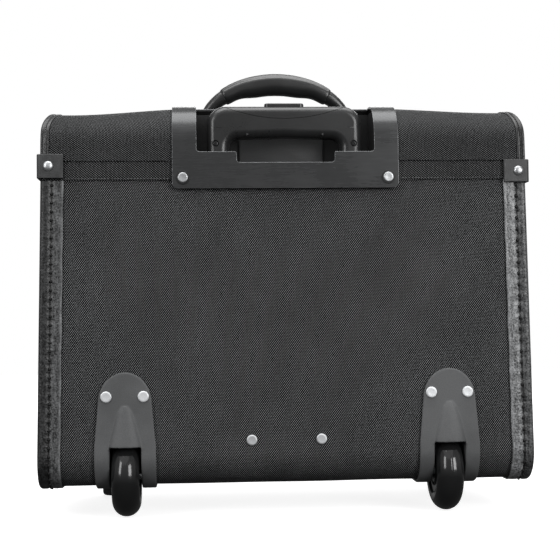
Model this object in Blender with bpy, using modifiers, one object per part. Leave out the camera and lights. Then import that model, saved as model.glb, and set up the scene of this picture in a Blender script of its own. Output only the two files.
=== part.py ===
"""Rolling pilot case: a nylon-covered box on two wheels with a lid and a two-stage trolley handle.

Metres, +Z up. The floor is z = 0, the wheels and the trolley are at the rear (-Y), the latches at
the front (+Y), and x = 0 is the middle of the width.
"""
import math

import bmesh
import bpy
from mathutils import Matrix, Vector

# Shell
GAP = 0.0003
HALF_WIDTH = 0.2305
BASE_Z = 0.027
LEAN = 0.0755
WALL_Y = 0.110
WALL = 0.0035
WALL_BOTTOM = 0.0285
WALL_TOP = 0.340
WALL_BEND = 0.030
BINDING = 0.0015
BINDING_WIDTH = 0.019
BINDING_SIDE = 0.012
SIDE_X = HALF_WIDTH - BINDING - GAP

# Lid and its fixed rear strip
LID_TOP = 0.382
LID_SKIN = 0.0025
LID_Y = WALL_Y + GAP + LID_SKIN
LID_BEND = 0.035
LID_BEND_Z = LID_TOP - LID_BEND
LID_BEND_Y = LID_Y - LID_BEND
HINGE_Y = -0.057
HINGE_Z = 0.383
FLAP_Z = 0.280
STRIP_Z = 0.3288
HEM_Z = 0.311
TAB_Z = {"left": (0.3129, 0.3351), "right": (0.3079, 0.3291)}
TAB_RIVET = {"left": (-0.2178, 0.3240), "right": (0.2178, 0.3183)}
BEZEL_RIVET = {"left": (-0.0953, 0.3130), "right": (0.0953, 0.3130)}
BASE_RIVET = {"left": (-0.0340, 0.0710), "right": (0.0305, 0.0710)}

# Trolley
PLATE = 0.002
BEZEL_Z = 0.303
BEZEL_HALF = 0.105
WINDOW_HALF = 0.0825
WINDOW_Z = 0.337
NOTCH_HALF = 0.0455
NOTCH_Z = 0.327
WINDOW_FRONT_Y = -0.0665
BEZEL_FRONT_Y = -0.0575
WELL_HALF = 0.0835
WELL_FLOOR = 0.3225
WELL_WALL = 0.002
TUBE_X = 0.062
TUBE_Y = -0.093
OUTER_TUBE = (0.0230, 0.0155)
MIDDLE_TUBE = (0.0202, 0.0127)
INNER_TUBE = (0.0176, 0.0101)
TUBE_WALL = 0.001
GRIP_HALF = 0.0725
GRIP_DEPTH = 0.023
GRIP_TOP = 0.3815
GRIP_BOTTOM = 0.3232
GRIP_BAR_Z = 0.351
GRIP_LEG = 0.0205
COVER_RADIUS = 0.149
COVER_DIP_Z = 0.3693
BUTTON = (0.037, 0.013)
BUTTON_LOW, BUTTON_HIGH = 0.3665, 0.3845
SCREW_X = 0.0647
SCREW_Z = 0.346
POCKET_Z = 0.356
FOOT_BLOCK = (0.060, 0.083)

# Wheels
FOOT_X = 0.172
FOOT_Y = 0.062
WHEEL_X = 0.150
WHEEL_R = 0.0375
AXLE_Y = -0.0842
AXLE_R = 0.00385
TYRE_HALF = 0.01325
SLOT_HALF = 0.0145
CHEEK = 0.0027
HOUSING_TOP = 0.081
HOUSING_FRONT = -0.043
PLATE_THICK = 0.0027
ARCH_TOP = 0.135
PLATE_RIVET_Z = 0.1127
PLATE_RIVET_X = 0.017

# Carry handle
HANDLE_Y = 0.025
PIVOT_Z = 0.3905
PIVOT_X = 0.0735
HANDLE_OUTER = (0.0815, 0.0575)
HANDLE_INNER = (0.066, 0.035)
INNER_SQUARENESS = 2.55
HANDLE_BASE_Z = 0.3785
HANDLE_DEPTH = 0.022
HANDLE_FOOT = 0.006

# Latches
LATCH_X = 0.135
HASP_Y = 0.1172
HASP_Z = 0.296
BARREL_R = 0.0024

# Rivets
SHANK_R = 0.0016
HOLE_R = 0.0019
DOMED, FLAT = 0.0018, 0.0010

MATERIALS = {
    "nylon": ((0.030, 0.030, 0.032), 0.85, 0.0),
    "leather": ((0.050, 0.050, 0.052), 0.45, 0.0),
    "webbing": ((0.024, 0.024, 0.026), 0.90, 0.0),
    "black_steel": ((0.060, 0.060, 0.064), 0.35, 0.7),
    "bright_steel": ((0.720, 0.720, 0.730), 0.30, 1.0),
    "aluminium": ((0.500, 0.500, 0.510), 0.35, 1.0),
    "gloss_plastic": ((0.012, 0.012, 0.013), 0.22, 0.0),
    "matte_plastic": ((0.020, 0.020, 0.021), 0.55, 0.0),
    "grey_plastic": ((0.110, 0.110, 0.115), 0.50, 0.0),
    "rubber": ((0.010, 0.010, 0.011), 0.20, 0.0),
    "board": ((0.060, 0.060, 0.062), 0.80, 0.0),
}

SIDES = (("left", -1), ("right", 1))


def clear_scene():
    for old in list(bpy.data.objects):
        bpy.data.objects.remove(old, do_unlink=True)


def new_collection(name):
    group = bpy.data.collections.new(name)
    bpy.context.scene.collection.children.link(group)
    return group


clear_scene()
PARTS = new_collection("pilot_rolling_case")
CUTTERS = new_collection("cutters")


def material(name):
    """The Principled material of that name, made on first use."""
    made = bpy.data.materials.get(name)
    if made is None:
        color, roughness, metallic = MATERIALS[name]
        made = bpy.data.materials.new(name)
        made.use_nodes = True
        shader = made.node_tree.nodes["Principled BSDF"]
        shader.inputs["Base Color"].default_value = (*color, 1)
        shader.inputs["Roughness"].default_value = roughness
        shader.inputs["Metallic"].default_value = metallic
    return made


def add(name, mesh, look, place=Matrix()):
    """Puts a mesh in the scene as a part, or as a cutter if look is None."""
    obj = bpy.data.objects.new(name, mesh)
    obj.matrix_world = place
    if look is None:
        CUTTERS.objects.link(obj)
        obj.hide_render = True
        obj.display_type = "WIRE"
    else:
        PARTS.objects.link(obj)
        mesh.materials.append(material(look))
    return obj


def mesh_from(name, build):
    """A mesh made by a function that fills a bmesh."""
    bm = bmesh.new()
    build(bm)
    bmesh.ops.remove_doubles(bm, verts=bm.verts, dist=1e-6)
    bmesh.ops.recalc_face_normals(bm, faces=bm.faces)
    mesh = bpy.data.meshes.new(name)
    bm.to_mesh(mesh)
    bm.free()
    return mesh


def box(name, low, high, look=None):
    """A box between two corners, with its origin in its middle."""
    size = Vector(high) - Vector(low)
    middle = (Vector(high) + Vector(low)) / 2

    def build(bm):
        bmesh.ops.create_cube(bm, size=1, matrix=Matrix.Diagonal((*size, 1)))

    return add(name, mesh_from(name, build), look, Matrix.Translation(middle))


def cylinder(name, radius, length, middle, axis, look=None, segments=10, tip=None):
    """A cylinder or cone along an axis, tip being the radius of its far end."""
    far = radius if tip is None else tip

    def build(bm):
        bmesh.ops.create_cone(
            bm, cap_ends=True, segments=segments, radius1=radius, radius2=far, depth=length
        )

    turn = Vector((0, 0, 1)).rotation_difference(Vector(axis)).to_matrix().to_4x4()
    return add(name, mesh_from(name, build), look, Matrix.Translation(middle) @ turn)


# Local axes of an outline: its first two columns are the drawing's axes, the third its thickness.
PLANES = {
    "x": Matrix(((0, 0, 1), (1, 0, 0), (0, 1, 0))).to_4x4(),
    "y": Matrix(((1, 0, 0), (0, 0, -1), (0, 1, 0))).to_4x4(),
    "z": Matrix.Identity(4),
}


def prism(name, outlines, axis, low, high, look=None):
    """A flat outline, with any further outlines as holes, made thick from low to high along an axis.

    An outline across x is drawn in (y, z), across y in (x, z), and across z in (x, y).
    """
    curve = bpy.data.curves.new(name, "CURVE")
    curve.dimensions = "2D"
    curve.fill_mode = "BOTH"
    curve.extrude = (high - low) / 2
    for points in outlines:
        spline = curve.splines.new("POLY")
        spline.points.add(len(points) - 1)
        for point, (a, b) in zip(spline.points, points):
            point.co = (a, b, 0, 1)
        spline.use_cyclic_u = True
    guide = bpy.data.objects.new(name + "_outline", curve)
    CUTTERS.objects.link(guide)
    bpy.context.view_layer.update()
    graph = bpy.context.evaluated_depsgraph_get()
    drawn = bpy.data.meshes.new_from_object(guide.evaluated_get(graph))
    bpy.data.objects.remove(guide, do_unlink=True)
    drawn.materials.clear()
    mesh = mesh_from(name, lambda bm: bm.from_mesh(drawn))
    along = {"x": (1, 0, 0), "y": (0, 1, 0), "z": (0, 0, 1)}[axis]
    shift = Matrix.Translation(Vector(along) * (low + high) / 2)
    return add(name, mesh, look, shift @ PLANES[axis])


def turned(name, profile, look, place, steps=24, closed=False):
    """A profile of (radius, height) points turned about its local Z, outer side running down."""
    def build(bm):
        corners = [bm.verts.new((r, 0, h)) for r, h in profile]
        pairs = list(zip(corners, corners[1:]))
        if closed:
            pairs.append((corners[-1], corners[0]))
        for pair in pairs:
            bm.edges.new(pair)

    obj = add(name, mesh_from(name, build), look, place)
    screw = obj.modifiers.new("turn", "SCREW")
    screw.steps = steps
    screw.render_steps = steps
    screw.use_merge_vertices = True
    screw.merge_threshold = 0.00001
    return obj


def cut(obj, tool, operation="DIFFERENCE"):
    """Cuts one object with another by a Boolean, or joins them."""
    step = obj.modifiers.new(tool.name, "BOOLEAN")
    step.operation = operation
    step.object = tool
    step.solver = "EXACT"
    return obj


def join(obj, tool):
    return cut(obj, tool, "UNION")


def bevel(obj, pick, width, segments=2):
    """Rounds the edges that a test of their two world end points picks."""
    bm = bmesh.new()
    bm.from_mesh(obj.data)
    place = obj.matrix_world
    edges = [e for e in bm.edges if pick(place @ e.verts[0].co, place @ e.verts[1].co)]
    bmesh.ops.bevel(bm, geom=edges, offset=width, segments=segments, affect="EDGES", profile=0.5)
    bm.to_mesh(obj.data)
    bm.free()
    return obj


def lean_in(obj):
    """Draws an object's sides towards the middle as they rise, as the whole shell does."""
    place = obj.matrix_world
    back = place.inverted()
    for vertex in obj.data.vertices:
        point = place @ vertex.co
        point.x *= 1 - LEAN * (point.z - BASE_Z)
        vertex.co = back @ point
    return obj


def arc(middle, radius, start, end, steps):
    """Points on an arc between two angles in degrees, in its outline's own axes."""
    angles = [math.radians(start + (end - start) * n / steps) for n in range(steps + 1)]
    return [(middle[0] + radius * math.cos(t), middle[1] + radius * math.sin(t)) for t in angles]


def ellipse(middle, radii, start, end, steps):
    """Points on an upright ellipse between two angles in degrees."""
    circle = arc((0, 0), 1, start, end, steps)
    return [(middle[0] + radii[0] * a, middle[1] + radii[1] * b) for a, b in circle]


def rounded(width, height, radius, middle=(0, 0), steps=2):
    """A rectangle's outline with round corners."""
    a, b = width / 2 - radius, height / 2 - radius
    corners = ((a, b, 0), (-a, b, 90), (-a, -b, 180), (a, -b, 270))
    points = []
    for x, y, start in corners:
        points += arc((middle[0] + x, middle[1] + y), radius, start, start + 90, steps)
    return points


def hold(empty_name, point, pieces, parent=None):
    """Parents the pieces of a moving body to an empty that stands on its joint's axis."""
    empty = bpy.data.objects.new(empty_name, None)
    PARTS.objects.link(empty)
    empty.matrix_world = Matrix.Translation(point)
    if parent:
        empty.parent = parent
        empty.matrix_parent_inverse = parent.matrix_world.inverted()
    bpy.context.view_layer.update()
    for piece in pieces:
        piece.parent = empty
        piece.matrix_parent_inverse = empty.matrix_world.inverted()
    return empty


def rivet(name, x, z, face_y, shank, head_r, height, tail=True):
    """A rivet set in the rear, its head resting on face_y and its shank running forwards."""
    profile = [(0, height), (head_r * 0.62, height * 0.78), (head_r, 0), (SHANK_R, 0)]
    if tail:
        profile += [(SHANK_R, -shank), (0.0024, -shank), (0.0024, -shank - 0.0009), (0, -shank - 0.0009)]
    else:
        profile += [(SHANK_R, -shank), (0, -shank)]
    place = Matrix.Translation((x, face_y, z)) @ Matrix.Rotation(math.radians(90), 4, "X")
    return turned(name, profile, "bright_steel", place, steps=10)


def rear_hole(x, z):
    """A cutter for a rivet's hole through everything at the rear."""
    return cylinder(f"hole_{x:+.4f}_{z:.4f}", HOLE_R, 0.030, (x, -WALL_Y, z), (0, 1, 0))


# ---------------------------------------------------------------- shell

def u_outline(outer, rear_top, front_top, thick):
    """A U in (y, z): rear wall, bends, bottom and front wall, outer being its distance outside."""
    middle_z = WALL_BOTTOM + WALL_BEND
    middle_y = WALL_Y - WALL_BEND
    radius = WALL_BEND + outer
    inner = radius - thick
    face = WALL_Y + outer
    points = [(-face, rear_top)]
    points += arc((-middle_y, middle_z), radius, 180, 270, 6)
    points += arc((middle_y, middle_z), radius, 270, 360, 6)
    points += [(face, front_top), (face - thick, front_top)]
    points += arc((middle_y, middle_z), inner, 360, 270, 6)
    points += arc((-middle_y, middle_z), inner, 270, 180, 6)
    points += [(-face + thick, rear_top)]
    return points


def make_window():
    """The gap in rear wall and strip through which the trolley's well opens."""
    return box("well_window", (-WELL_HALF, -0.140, 0.3265), (WELL_HALF, -0.0660, 0.400))


def make_wrap(window, holes):
    outline = u_outline(0, WALL_TOP, WALL_TOP, WALL)
    wrap = lean_in(prism("wrap_panel", [outline], "x", -SIDE_X, SIDE_X, "nylon"))
    cut(wrap, window)
    for hole in holes:
        cut(wrap, hole)
    for side, sign in SIDES:
        reach = SLOT_HALF + CHEEK + 0.0004
        middle = sign * WHEEL_X
        low = (middle - reach, -0.120, 0.020)
        high = (middle + reach, HOUSING_FRONT + 0.0004, HOUSING_TOP + 0.0004)
        cut(wrap, box(f"wheel_gap_{side}", low, high))
    return wrap


def make_side_panels():
    inner = WALL_Y - WALL - GAP
    bend = WALL_BEND - WALL - GAP
    low_z = WALL_BOTTOM + WALL_BEND
    low_y = WALL_Y - WALL_BEND
    lid_radius = LID_BEND - LID_SKIN - GAP
    step = WALL_TOP + GAP
    points = arc((-low_y, low_z), bend, 180, 270, 6)
    points += arc((low_y, low_z), bend, 270, 360, 6)
    points += [(inner, step), (LID_BEND_Y + lid_radius, step)]
    points += arc((LID_BEND_Y, LID_BEND_Z), lid_radius, 0, 90, 6)
    points += arc((-LID_BEND_Y, LID_BEND_Z), lid_radius, 90, 180, 6)
    points += [(-LID_BEND_Y - lid_radius, step), (-inner, step)]
    for side, sign in SIDES:
        ends = sorted((sign * (SIDE_X - WALL), sign * SIDE_X))
        lean_in(prism(f"side_panel_{side}", [points], "x", *ends, "nylon"))


def make_bindings():
    """Leather-look binding sewn over the two long U-shaped edges of the shell."""
    rear_top = HEM_Z - GAP
    front_top = FLAP_Z - 2 * GAP
    flat = u_outline(GAP + BINDING, rear_top, front_top, BINDING)
    band = u_outline(GAP + BINDING, rear_top, front_top, BINDING + BINDING_SIDE)
    for side, sign in SIDES:
        spread = sorted((sign * (HALF_WIDTH - BINDING_WIDTH), sign * HALF_WIDTH))
        edge = sorted((sign * (SIDE_X + GAP), sign * HALF_WIDTH))
        binding = lean_in(prism(f"edge_binding_{side}", [flat], "x", *spread, "leather"))
        join(binding, lean_in(prism(f"binding_flange_{side}", [band], "x", *edge)))


def make_mouth_frame():
    """A steel strip that stiffens the mouth along its front and two sides."""
    low, high = 0.318, 0.338
    half, front, rear, thick = 0.2190, 0.1060, -0.058, 0.0015
    points = [(-half, rear), (-half + thick, rear), (-half + thick, front - thick)]
    points += [(half - thick, front - thick), (half - thick, rear), (half, rear)]
    points += [(half, front), (-half, front)]
    prism("mouth_frame", [points], "z", low, high, "bright_steel")


def make_lining():
    """The board that hides the trolley's tubes from the main compartment."""
    half = SIDE_X - WALL - 0.0012
    board = box("rear_lining_board", (-half, -0.0635, 0.0335), (half, -0.0615, 0.3785), "board")
    lean_in(board)
    for side, sign in SIDES:
        reach = SLOT_HALF + CHEEK + 0.0006
        low = (sign * WHEEL_X - reach, -0.070, 0.020)
        high = (sign * WHEEL_X + reach, -0.055, HOUSING_TOP + 0.0006)
        cut(board, box(f"lining_gap_{side}", low, high))


def make_feet():
    profile = [(0, 0.0282), (0.0130, 0.0282), (0.0130, 0.0240), (0.0115, 0.0020), (0.0095, 0), (0, 0)]
    for side, sign in SIDES:
        place = Matrix.Translation((sign * FOOT_X, FOOT_Y, 0))
        turned(f"front_foot_{side}", profile, "matte_plastic", place, steps=20)


# ---------------------------------------------------------------- lid

def lid_outline(sign, low_z, end_y):
    """An L-bend in (y, z): a wall down one side, the top bend, and the top as far as end_y."""
    inner = LID_BEND - LID_SKIN
    wall = sign * LID_Y
    inside = sign * (LID_Y - LID_SKIN)
    middle = (sign * LID_BEND_Y, LID_BEND_Z)
    side = 0 if sign > 0 else 180
    points = [(inside, low_z), (wall, low_z)]
    points += arc(middle, LID_BEND, side, 90, 8)
    points += [(end_y, LID_TOP), (end_y, LID_TOP - LID_SKIN)]
    points += arc(middle, inner, 90, side, 8)
    return points


def make_rear_strip(window):
    outline = lid_outline(-1, STRIP_Z, HINGE_Y - GAP)
    strip = prism("lid_rear_strip", [outline], "x", -HALF_WIDTH, HALF_WIDTH, "nylon")
    cut(lean_in(strip), window)


def make_hem(window, holes):
    low = (-HALF_WIDTH, -LID_Y + 0.0009, HEM_Z)
    high = (HALF_WIDTH, -WALL_Y - GAP, STRIP_Z - GAP)
    hem = lean_in(box("rear_hem_tape", low, high, "webbing"))
    cut(hem, window)
    for hole in holes:
        cut(hem, hole)


def make_lid():
    outline = lid_outline(1, FLAP_Z, HINGE_Y + GAP)
    lid = prism("lid_panel", [outline], "x", -HALF_WIDTH, HALF_WIDTH, "nylon")
    return lean_in(lid)


def make_corner_tabs():
    """Leather tabs that wrap the two upper rear corners and hold the strip down."""
    thick = 0.0025
    back = -LID_Y - GAP
    side_x = 0.2259
    for side, sign in SIDES:
        plan = [(0.2045, back), (0.2045, back - thick), (side_x + thick, back - thick)]
        plan += [(side_x + thick, -0.085), (side_x, -0.085), (side_x, back)]
        plan = [(sign * x, y) for x, y in plan]
        tab = prism(f"corner_tab_{side}", [plan], "z", *TAB_Z[side], "leather")
        corner = side_x + thick - 0.0001
        bevel(tab, lambda a, b: min(abs(a.x), abs(b.x)) > corner and max(a.y, b.y) < back - 0.001
              and abs(a.z - b.z) > 0.01, 0.002)
        cut(tab, rear_hole(*TAB_RIVET[side]))
        shank = -back + thick - WALL_Y + WALL + 0.0006
        rivet(f"tab_rivet_{side}", *TAB_RIVET[side], back - thick - GAP, shank, 0.0044, DOMED)


# ---------------------------------------------------------------- carry handle

def foot_thickness(z):
    """Half the handle's depth at a height: round about the pivot, then swelling into the grip."""
    if z < PIVOT_Z:
        return math.sqrt(max(HANDLE_FOOT ** 2 - (PIVOT_Z - z) ** 2, 0.0012 ** 2))
    rise = min((z - PIVOT_Z) / 0.028, 1)
    return HANDLE_FOOT + (HANDLE_DEPTH / 2 - HANDLE_FOOT) * math.sin(rise * math.pi / 2)


def squared_ellipse(angle):
    """A point (x, z) of the handle's inner arch, which is flatter than an ellipse."""
    power = 2 / INNER_SQUARENESS
    x = HANDLE_INNER[0] * max(math.cos(angle), 0) ** power
    return (x, HANDLE_BASE_Z + HANDLE_INNER[1] * math.sin(angle) ** power)


def handle_stations():
    """Pairs of an outer and an inner (x, z) point, from the left foot over the arch to the right."""
    out_x, in_x = HANDLE_OUTER[0] - 0.0012, HANDLE_INNER[0] + 0.0005
    low = PIVOT_Z - HANDLE_FOOT + 0.0002
    feet = [((out_x, z), (in_x, z)) for z in (low, low + 0.0015, low + 0.0035)]
    angles = [15, 20, 27, 36, 47, 60, 75, 90]
    tops = [ellipse((0, HANDLE_BASE_Z), HANDLE_OUTER, t, t, 1)[0] for t in angles]
    inside = [squared_ellipse(math.radians(t)) for t in angles]
    right = feet + list(zip(tops, inside))
    left = [((-a[0], a[1]), (-b[0], b[1])) for a, b in right[:-1]]
    return left + right[::-1]


def handle_ring(outer, inner):
    """The eight-sided section between an outer and an inner point of the handle."""
    middle = Vector(((outer[0] + inner[0]) / 2, HANDLE_Y, (outer[1] + inner[1]) / 2))
    across = Vector((outer[0] - inner[0], 0, outer[1] - inner[1])) / 2
    deep = Vector((0, foot_thickness(middle.z), 0))
    ring = []
    for step in range(8):
        turn = math.radians(22.5 + 45 * step)
        ring.append(middle + across * math.cos(turn) * 1.08 + deep * math.sin(turn) * 1.08)
    return ring


def make_handle():
    """The arch lofted between its unlike sections, with a bore through both feet."""
    rings = [handle_ring(outer, inner) for outer, inner in handle_stations()]

    def build(bm):
        rows = [[bm.verts.new(point) for point in ring] for ring in rings]
        for row, following in zip(rows, rows[1:]):
            for n in range(8):
                m = (n + 1) % 8
                bm.faces.new((row[n], row[m], following[m], following[n]))
        bm.faces.new(rows[0])
        bm.faces.new(rows[-1])

    handle = add("carry_handle", mesh_from("carry_handle", build), "matte_plastic")
    for side, sign in SIDES:
        middle = (sign * PIVOT_X, HANDLE_Y, PIVOT_Z)
        cut(handle, cylinder(f"handle_bore_{side}", 0.0030, 0.030, middle, (1, 0, 0), segments=12))
    return handle


def make_brackets():
    """Saddles riveted to the lid, each with an ear and a pin that the handle turns on."""
    made = []
    base_z = LID_TOP + GAP
    for side, sign in SIDES:
        x_in, x_out = HANDLE_INNER[0] - 0.003, HANDLE_OUTER[0] + 0.0065
        low = (min(sign * x_in, sign * x_out), HANDLE_Y - 0.0095, base_z)
        high = (max(sign * x_in, sign * x_out), HANDLE_Y + 0.0095, base_z + 0.0019)
        base = box(f"handle_bracket_{side}", low, high, "black_steel")
        ear_x = sorted((sign * (HANDLE_OUTER[0] - 0.0005), sign * x_out))
        ear_points = arc((HANDLE_Y, PIVOT_Z), 0.0062, 0, 180, 8)
        ear_points += [(HANDLE_Y - 0.0085, base_z), (HANDLE_Y + 0.0085, base_z)]
        join(base, prism(f"bracket_ear_{side}", [ear_points], "x", *ear_x))
        pin_x = sorted((sign * 0.0675, sign * 0.0845))
        middle = (sum(pin_x) / 2, HANDLE_Y, PIVOT_Z)
        join(base, cylinder(f"bracket_pin_{side}", 0.0027, pin_x[1] - pin_x[0], middle, (1, 0, 0),
                            segments=12))
        made.append(base)
    return made


# ---------------------------------------------------------------- latches

def make_latch(side, sign):
    """One front latch: its base on the shell, its hinge on the flap, the hasp and the button."""
    x = sign * LATCH_X
    face = WALL_Y + GAP
    base = box(f"latch_base_{side}", (x - 0.021, face, 0.238), (x + 0.021, face + 0.007, 0.278),
               "bright_steel")
    cut(base, box(f"catch_pocket_{side}", (x - 0.0065, face + 0.0022, 0.2545),
                  (x + 0.0065, face + 0.010, 0.2650)))
    run = sorted((x - sign * 0.0075, x + sign * 0.0135))
    cut(base, box(f"button_slot_{side}", (run[0], face + 0.0042, 0.2407),
                  (run[1], face + 0.010, 0.2493)))
    button = box(f"latch_button_{side}", (x - 0.007, face + 0.0046, 0.2410),
                 (x + 0.007, 0.1217, 0.2490), "bright_steel")
    return base, button


def make_hasp(side, sign):
    x = sign * LATCH_X
    flap = LID_Y + GAP
    hinge = box(f"hasp_hinge_{side}", (x - 0.018, flap, 0.2920), (x + 0.018, flap + 0.0012, 0.3120),
                "bright_steel")
    join(hinge, box(f"hasp_web_{side}", (x - 0.0060, flap + 0.0005, 0.2945),
                    (x + 0.0060, HASP_Y, 0.2975)))
    join(hinge, cylinder(f"hasp_knuckle_{side}", BARREL_R, 0.0120, (x, HASP_Y, HASP_Z), (1, 0, 0)))
    join(hinge, cylinder(f"hasp_pin_{side}", 0.0011, 0.0300, (x, HASP_Y, HASP_Z), (1, 0, 0),
                         segments=8))
    plate_y = (HASP_Y + 0.0006, HASP_Y + BARREL_R)
    hasp = box(f"latch_hasp_{side}", (x - 0.0150, plate_y[0], 0.2520),
               (x + 0.0150, plate_y[1], 0.2922), "bright_steel")
    join(hasp, box(f"hasp_tongue_{side}", (x - 0.005, HASP_Y - 0.0037, 0.2580),
                   (x + 0.005, plate_y[1] - 0.0005, 0.2620)))
    for end in (-1, 1):
        middle = (x + end * 0.0108, HASP_Y, HASP_Z)
        join(hasp, box(f"hasp_arm_{side}_{end}", (middle[0] - 0.0042, plate_y[0], 0.2915),
                       (middle[0] + 0.0042, plate_y[1] - 0.0003, HASP_Z)))
        join(hasp, cylinder(f"hasp_barrel_{side}_{end}", BARREL_R, 0.0084, middle, (1, 0, 0)))
    cut(hasp, cylinder(f"hasp_bore_{side}", 0.0015, 0.040, (x, HASP_Y, HASP_Z), (1, 0, 0),
                       segments=8))
    return hinge, hasp


# ---------------------------------------------------------------- trolley

def make_bezel():
    """The steel plate bent over the upper rear edge, framing the well."""
    inner = LID_BEND + GAP
    outer = inner + PLATE
    middle = (-LID_BEND_Y, LID_BEND_Z)
    points = [(-LID_Y - GAP, BEZEL_Z), (-LID_Y - GAP - PLATE, BEZEL_Z)]
    points += arc(middle, outer, 180, 90, 8)
    points += [(BEZEL_FRONT_Y, LID_TOP + GAP + PLATE), (BEZEL_FRONT_Y, LID_TOP + GAP)]
    points += arc(middle, inner, 90, 180, 8)
    bezel = prism("trolley_bezel", [points], "x", -BEZEL_HALF, BEZEL_HALF, "black_steel")
    bevel(bezel, lambda a, b: abs(a.x - b.x) < 1e-6 and abs(a.z - b.z) < 1e-6
          and abs(a.z - BEZEL_Z) < 1e-6, 0.005, 3)
    cut(bezel, box("bezel_window", (-WINDOW_HALF, -0.140, WINDOW_Z),
                   (WINDOW_HALF, WINDOW_FRONT_Y, 0.400)))
    cut(bezel, box("bezel_notch", (-NOTCH_HALF, -0.140, NOTCH_Z), (NOTCH_HALF, -0.100, 0.345)))
    face = -LID_Y - GAP - PLATE - GAP
    shank = -face - WALL_Y + WALL + 0.0003
    for side, sign in SIDES:
        cut(bezel, rear_hole(*BEZEL_RIVET[side]))
        rivet(f"bezel_rivet_{side}", *BEZEL_RIVET[side], face, shank, 0.0048, FLAT)


def make_well():
    """The moulded tray that the grip sinks into, with sleeves that hold the outer tubes."""
    rear = -WALL_Y + WALL + GAP
    front = -0.0640
    radius = LID_BEND - LID_SKIN - 2 * GAP
    top = LID_BEND_Z + radius
    start = math.degrees(math.acos((rear + LID_BEND_Y) / radius))
    points = [(front, WELL_FLOOR - WELL_WALL), (front, top)]
    points += arc((-LID_BEND_Y, LID_BEND_Z), radius, 90, start, 6)
    points += [(rear, WELL_FLOOR - WELL_WALL)]
    half = WELL_HALF + WELL_WALL
    well = prism("trolley_well", [points], "x", -half, half, "matte_plastic")
    sleeve = (OUTER_TUBE[0] + 0.004, OUTER_TUBE[1] + 0.004)
    for side, sign in SIDES:
        outline = rounded(*sleeve, 0.003, (sign * TUBE_X, TUBE_Y))
        join(well, prism(f"well_sleeve_{side}", [outline], "z", 0.300, WELL_FLOOR - 0.0005))
    cut(well, box("well_room", (-WELL_HALF, -0.140, WELL_FLOOR), (WELL_HALF, front - WELL_WALL, 0.400)))
    for side, sign in SIDES:
        middle = (sign * TUBE_X, TUBE_Y)
        wide = rounded(OUTER_TUBE[0] + 2 * GAP, OUTER_TUBE[1] + 2 * GAP, 0.0025, middle)
        cut(well, prism(f"sleeve_bore_{side}", [wide], "z", 0.290, WELL_FLOOR - WELL_WALL))
        slim = rounded(MIDDLE_TUBE[0] + 2 * GAP, MIDDLE_TUBE[1] + 2 * GAP, 0.0022, middle)
        cut(well, prism(f"floor_bore_{side}", [slim], "z", 0.310, 0.330))


def make_tube(name, size, low, high, side, sign, look):
    middle = (sign * TUBE_X, TUBE_Y)
    outside = rounded(*size, 0.0022, middle)
    inside = rounded(size[0] - 2 * TUBE_WALL, size[1] - 2 * TUBE_WALL, 0.0014, middle)
    return prism(f"{name}_{side}", [outside, inside], "z", low, high, look)


def make_foot_block():
    """The moulded block that ties the lower ends of the outer tubes to the rear wall."""
    rear = -WALL_Y + WALL + GAP
    block = box("tube_foot_block", (-0.080, rear, FOOT_BLOCK[0]), (0.080, -0.0835, FOOT_BLOCK[1]),
                "matte_plastic")
    for side, sign in SIDES:
        outline = rounded(OUTER_TUBE[0] + 2 * GAP, OUTER_TUBE[1] + 2 * GAP, 0.0025,
                          (sign * TUBE_X, TUBE_Y))
        cut(block, prism(f"block_bore_{side}", [outline], "z", 0.050, 0.090))
        cut(block, rear_hole(*BASE_RIVET[side]))
        rivet(f"base_rivet_{side}", *BASE_RIVET[side], -WALL_Y - GAP, 0.0140, 0.0050, FLAT,
              tail=False)


def grip_outline():
    """The grip's arch in (x, z): a bar between two legs, round at the shoulders."""
    inside = GRIP_HALF - GRIP_LEG
    shoulder, corner = 0.016, 0.007
    points = [(GRIP_HALF, GRIP_BOTTOM)]
    points += arc((GRIP_HALF - shoulder, GRIP_TOP - shoulder), shoulder, 0, 90, 5)
    points += arc((shoulder - GRIP_HALF, GRIP_TOP - shoulder), shoulder, 90, 180, 5)
    points += [(-GRIP_HALF, GRIP_BOTTOM), (-inside, GRIP_BOTTOM)]
    points += arc((corner - inside, GRIP_BAR_Z - corner), corner, 180, 90, 3)
    points += arc((inside - corner, GRIP_BAR_Z - corner), corner, 90, 0, 3)
    points += [(inside, GRIP_BOTTOM)]
    return points


def grip_blank(name, look):
    half = GRIP_DEPTH / 2
    blank = prism(name, [grip_outline()], "y", TUBE_Y - half, TUBE_Y + half, look)

    def long_edge(a, b):
        return abs(a.y - b.y) < 1e-6 and max(a.z, b.z) > GRIP_BOTTOM + 0.001 and on_outline(a, b)

    return bevel(blank, long_edge, 0.0045)


def on_outline(a, b):
    """Whether an edge follows the grip's outline, not a diagonal of its flat face."""
    outline = grip_outline()
    pairs = zip(outline, outline[1:] + outline[:1])
    ends = {(round(a.x, 5), round(a.z, 5)), (round(b.x, 5), round(b.z, 5))}
    for p, q in pairs:
        if ends == {(round(p[0], 5), round(p[1], 5)), (round(q[0], 5), round(q[1], 5))}:
            return True
    return False


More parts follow.
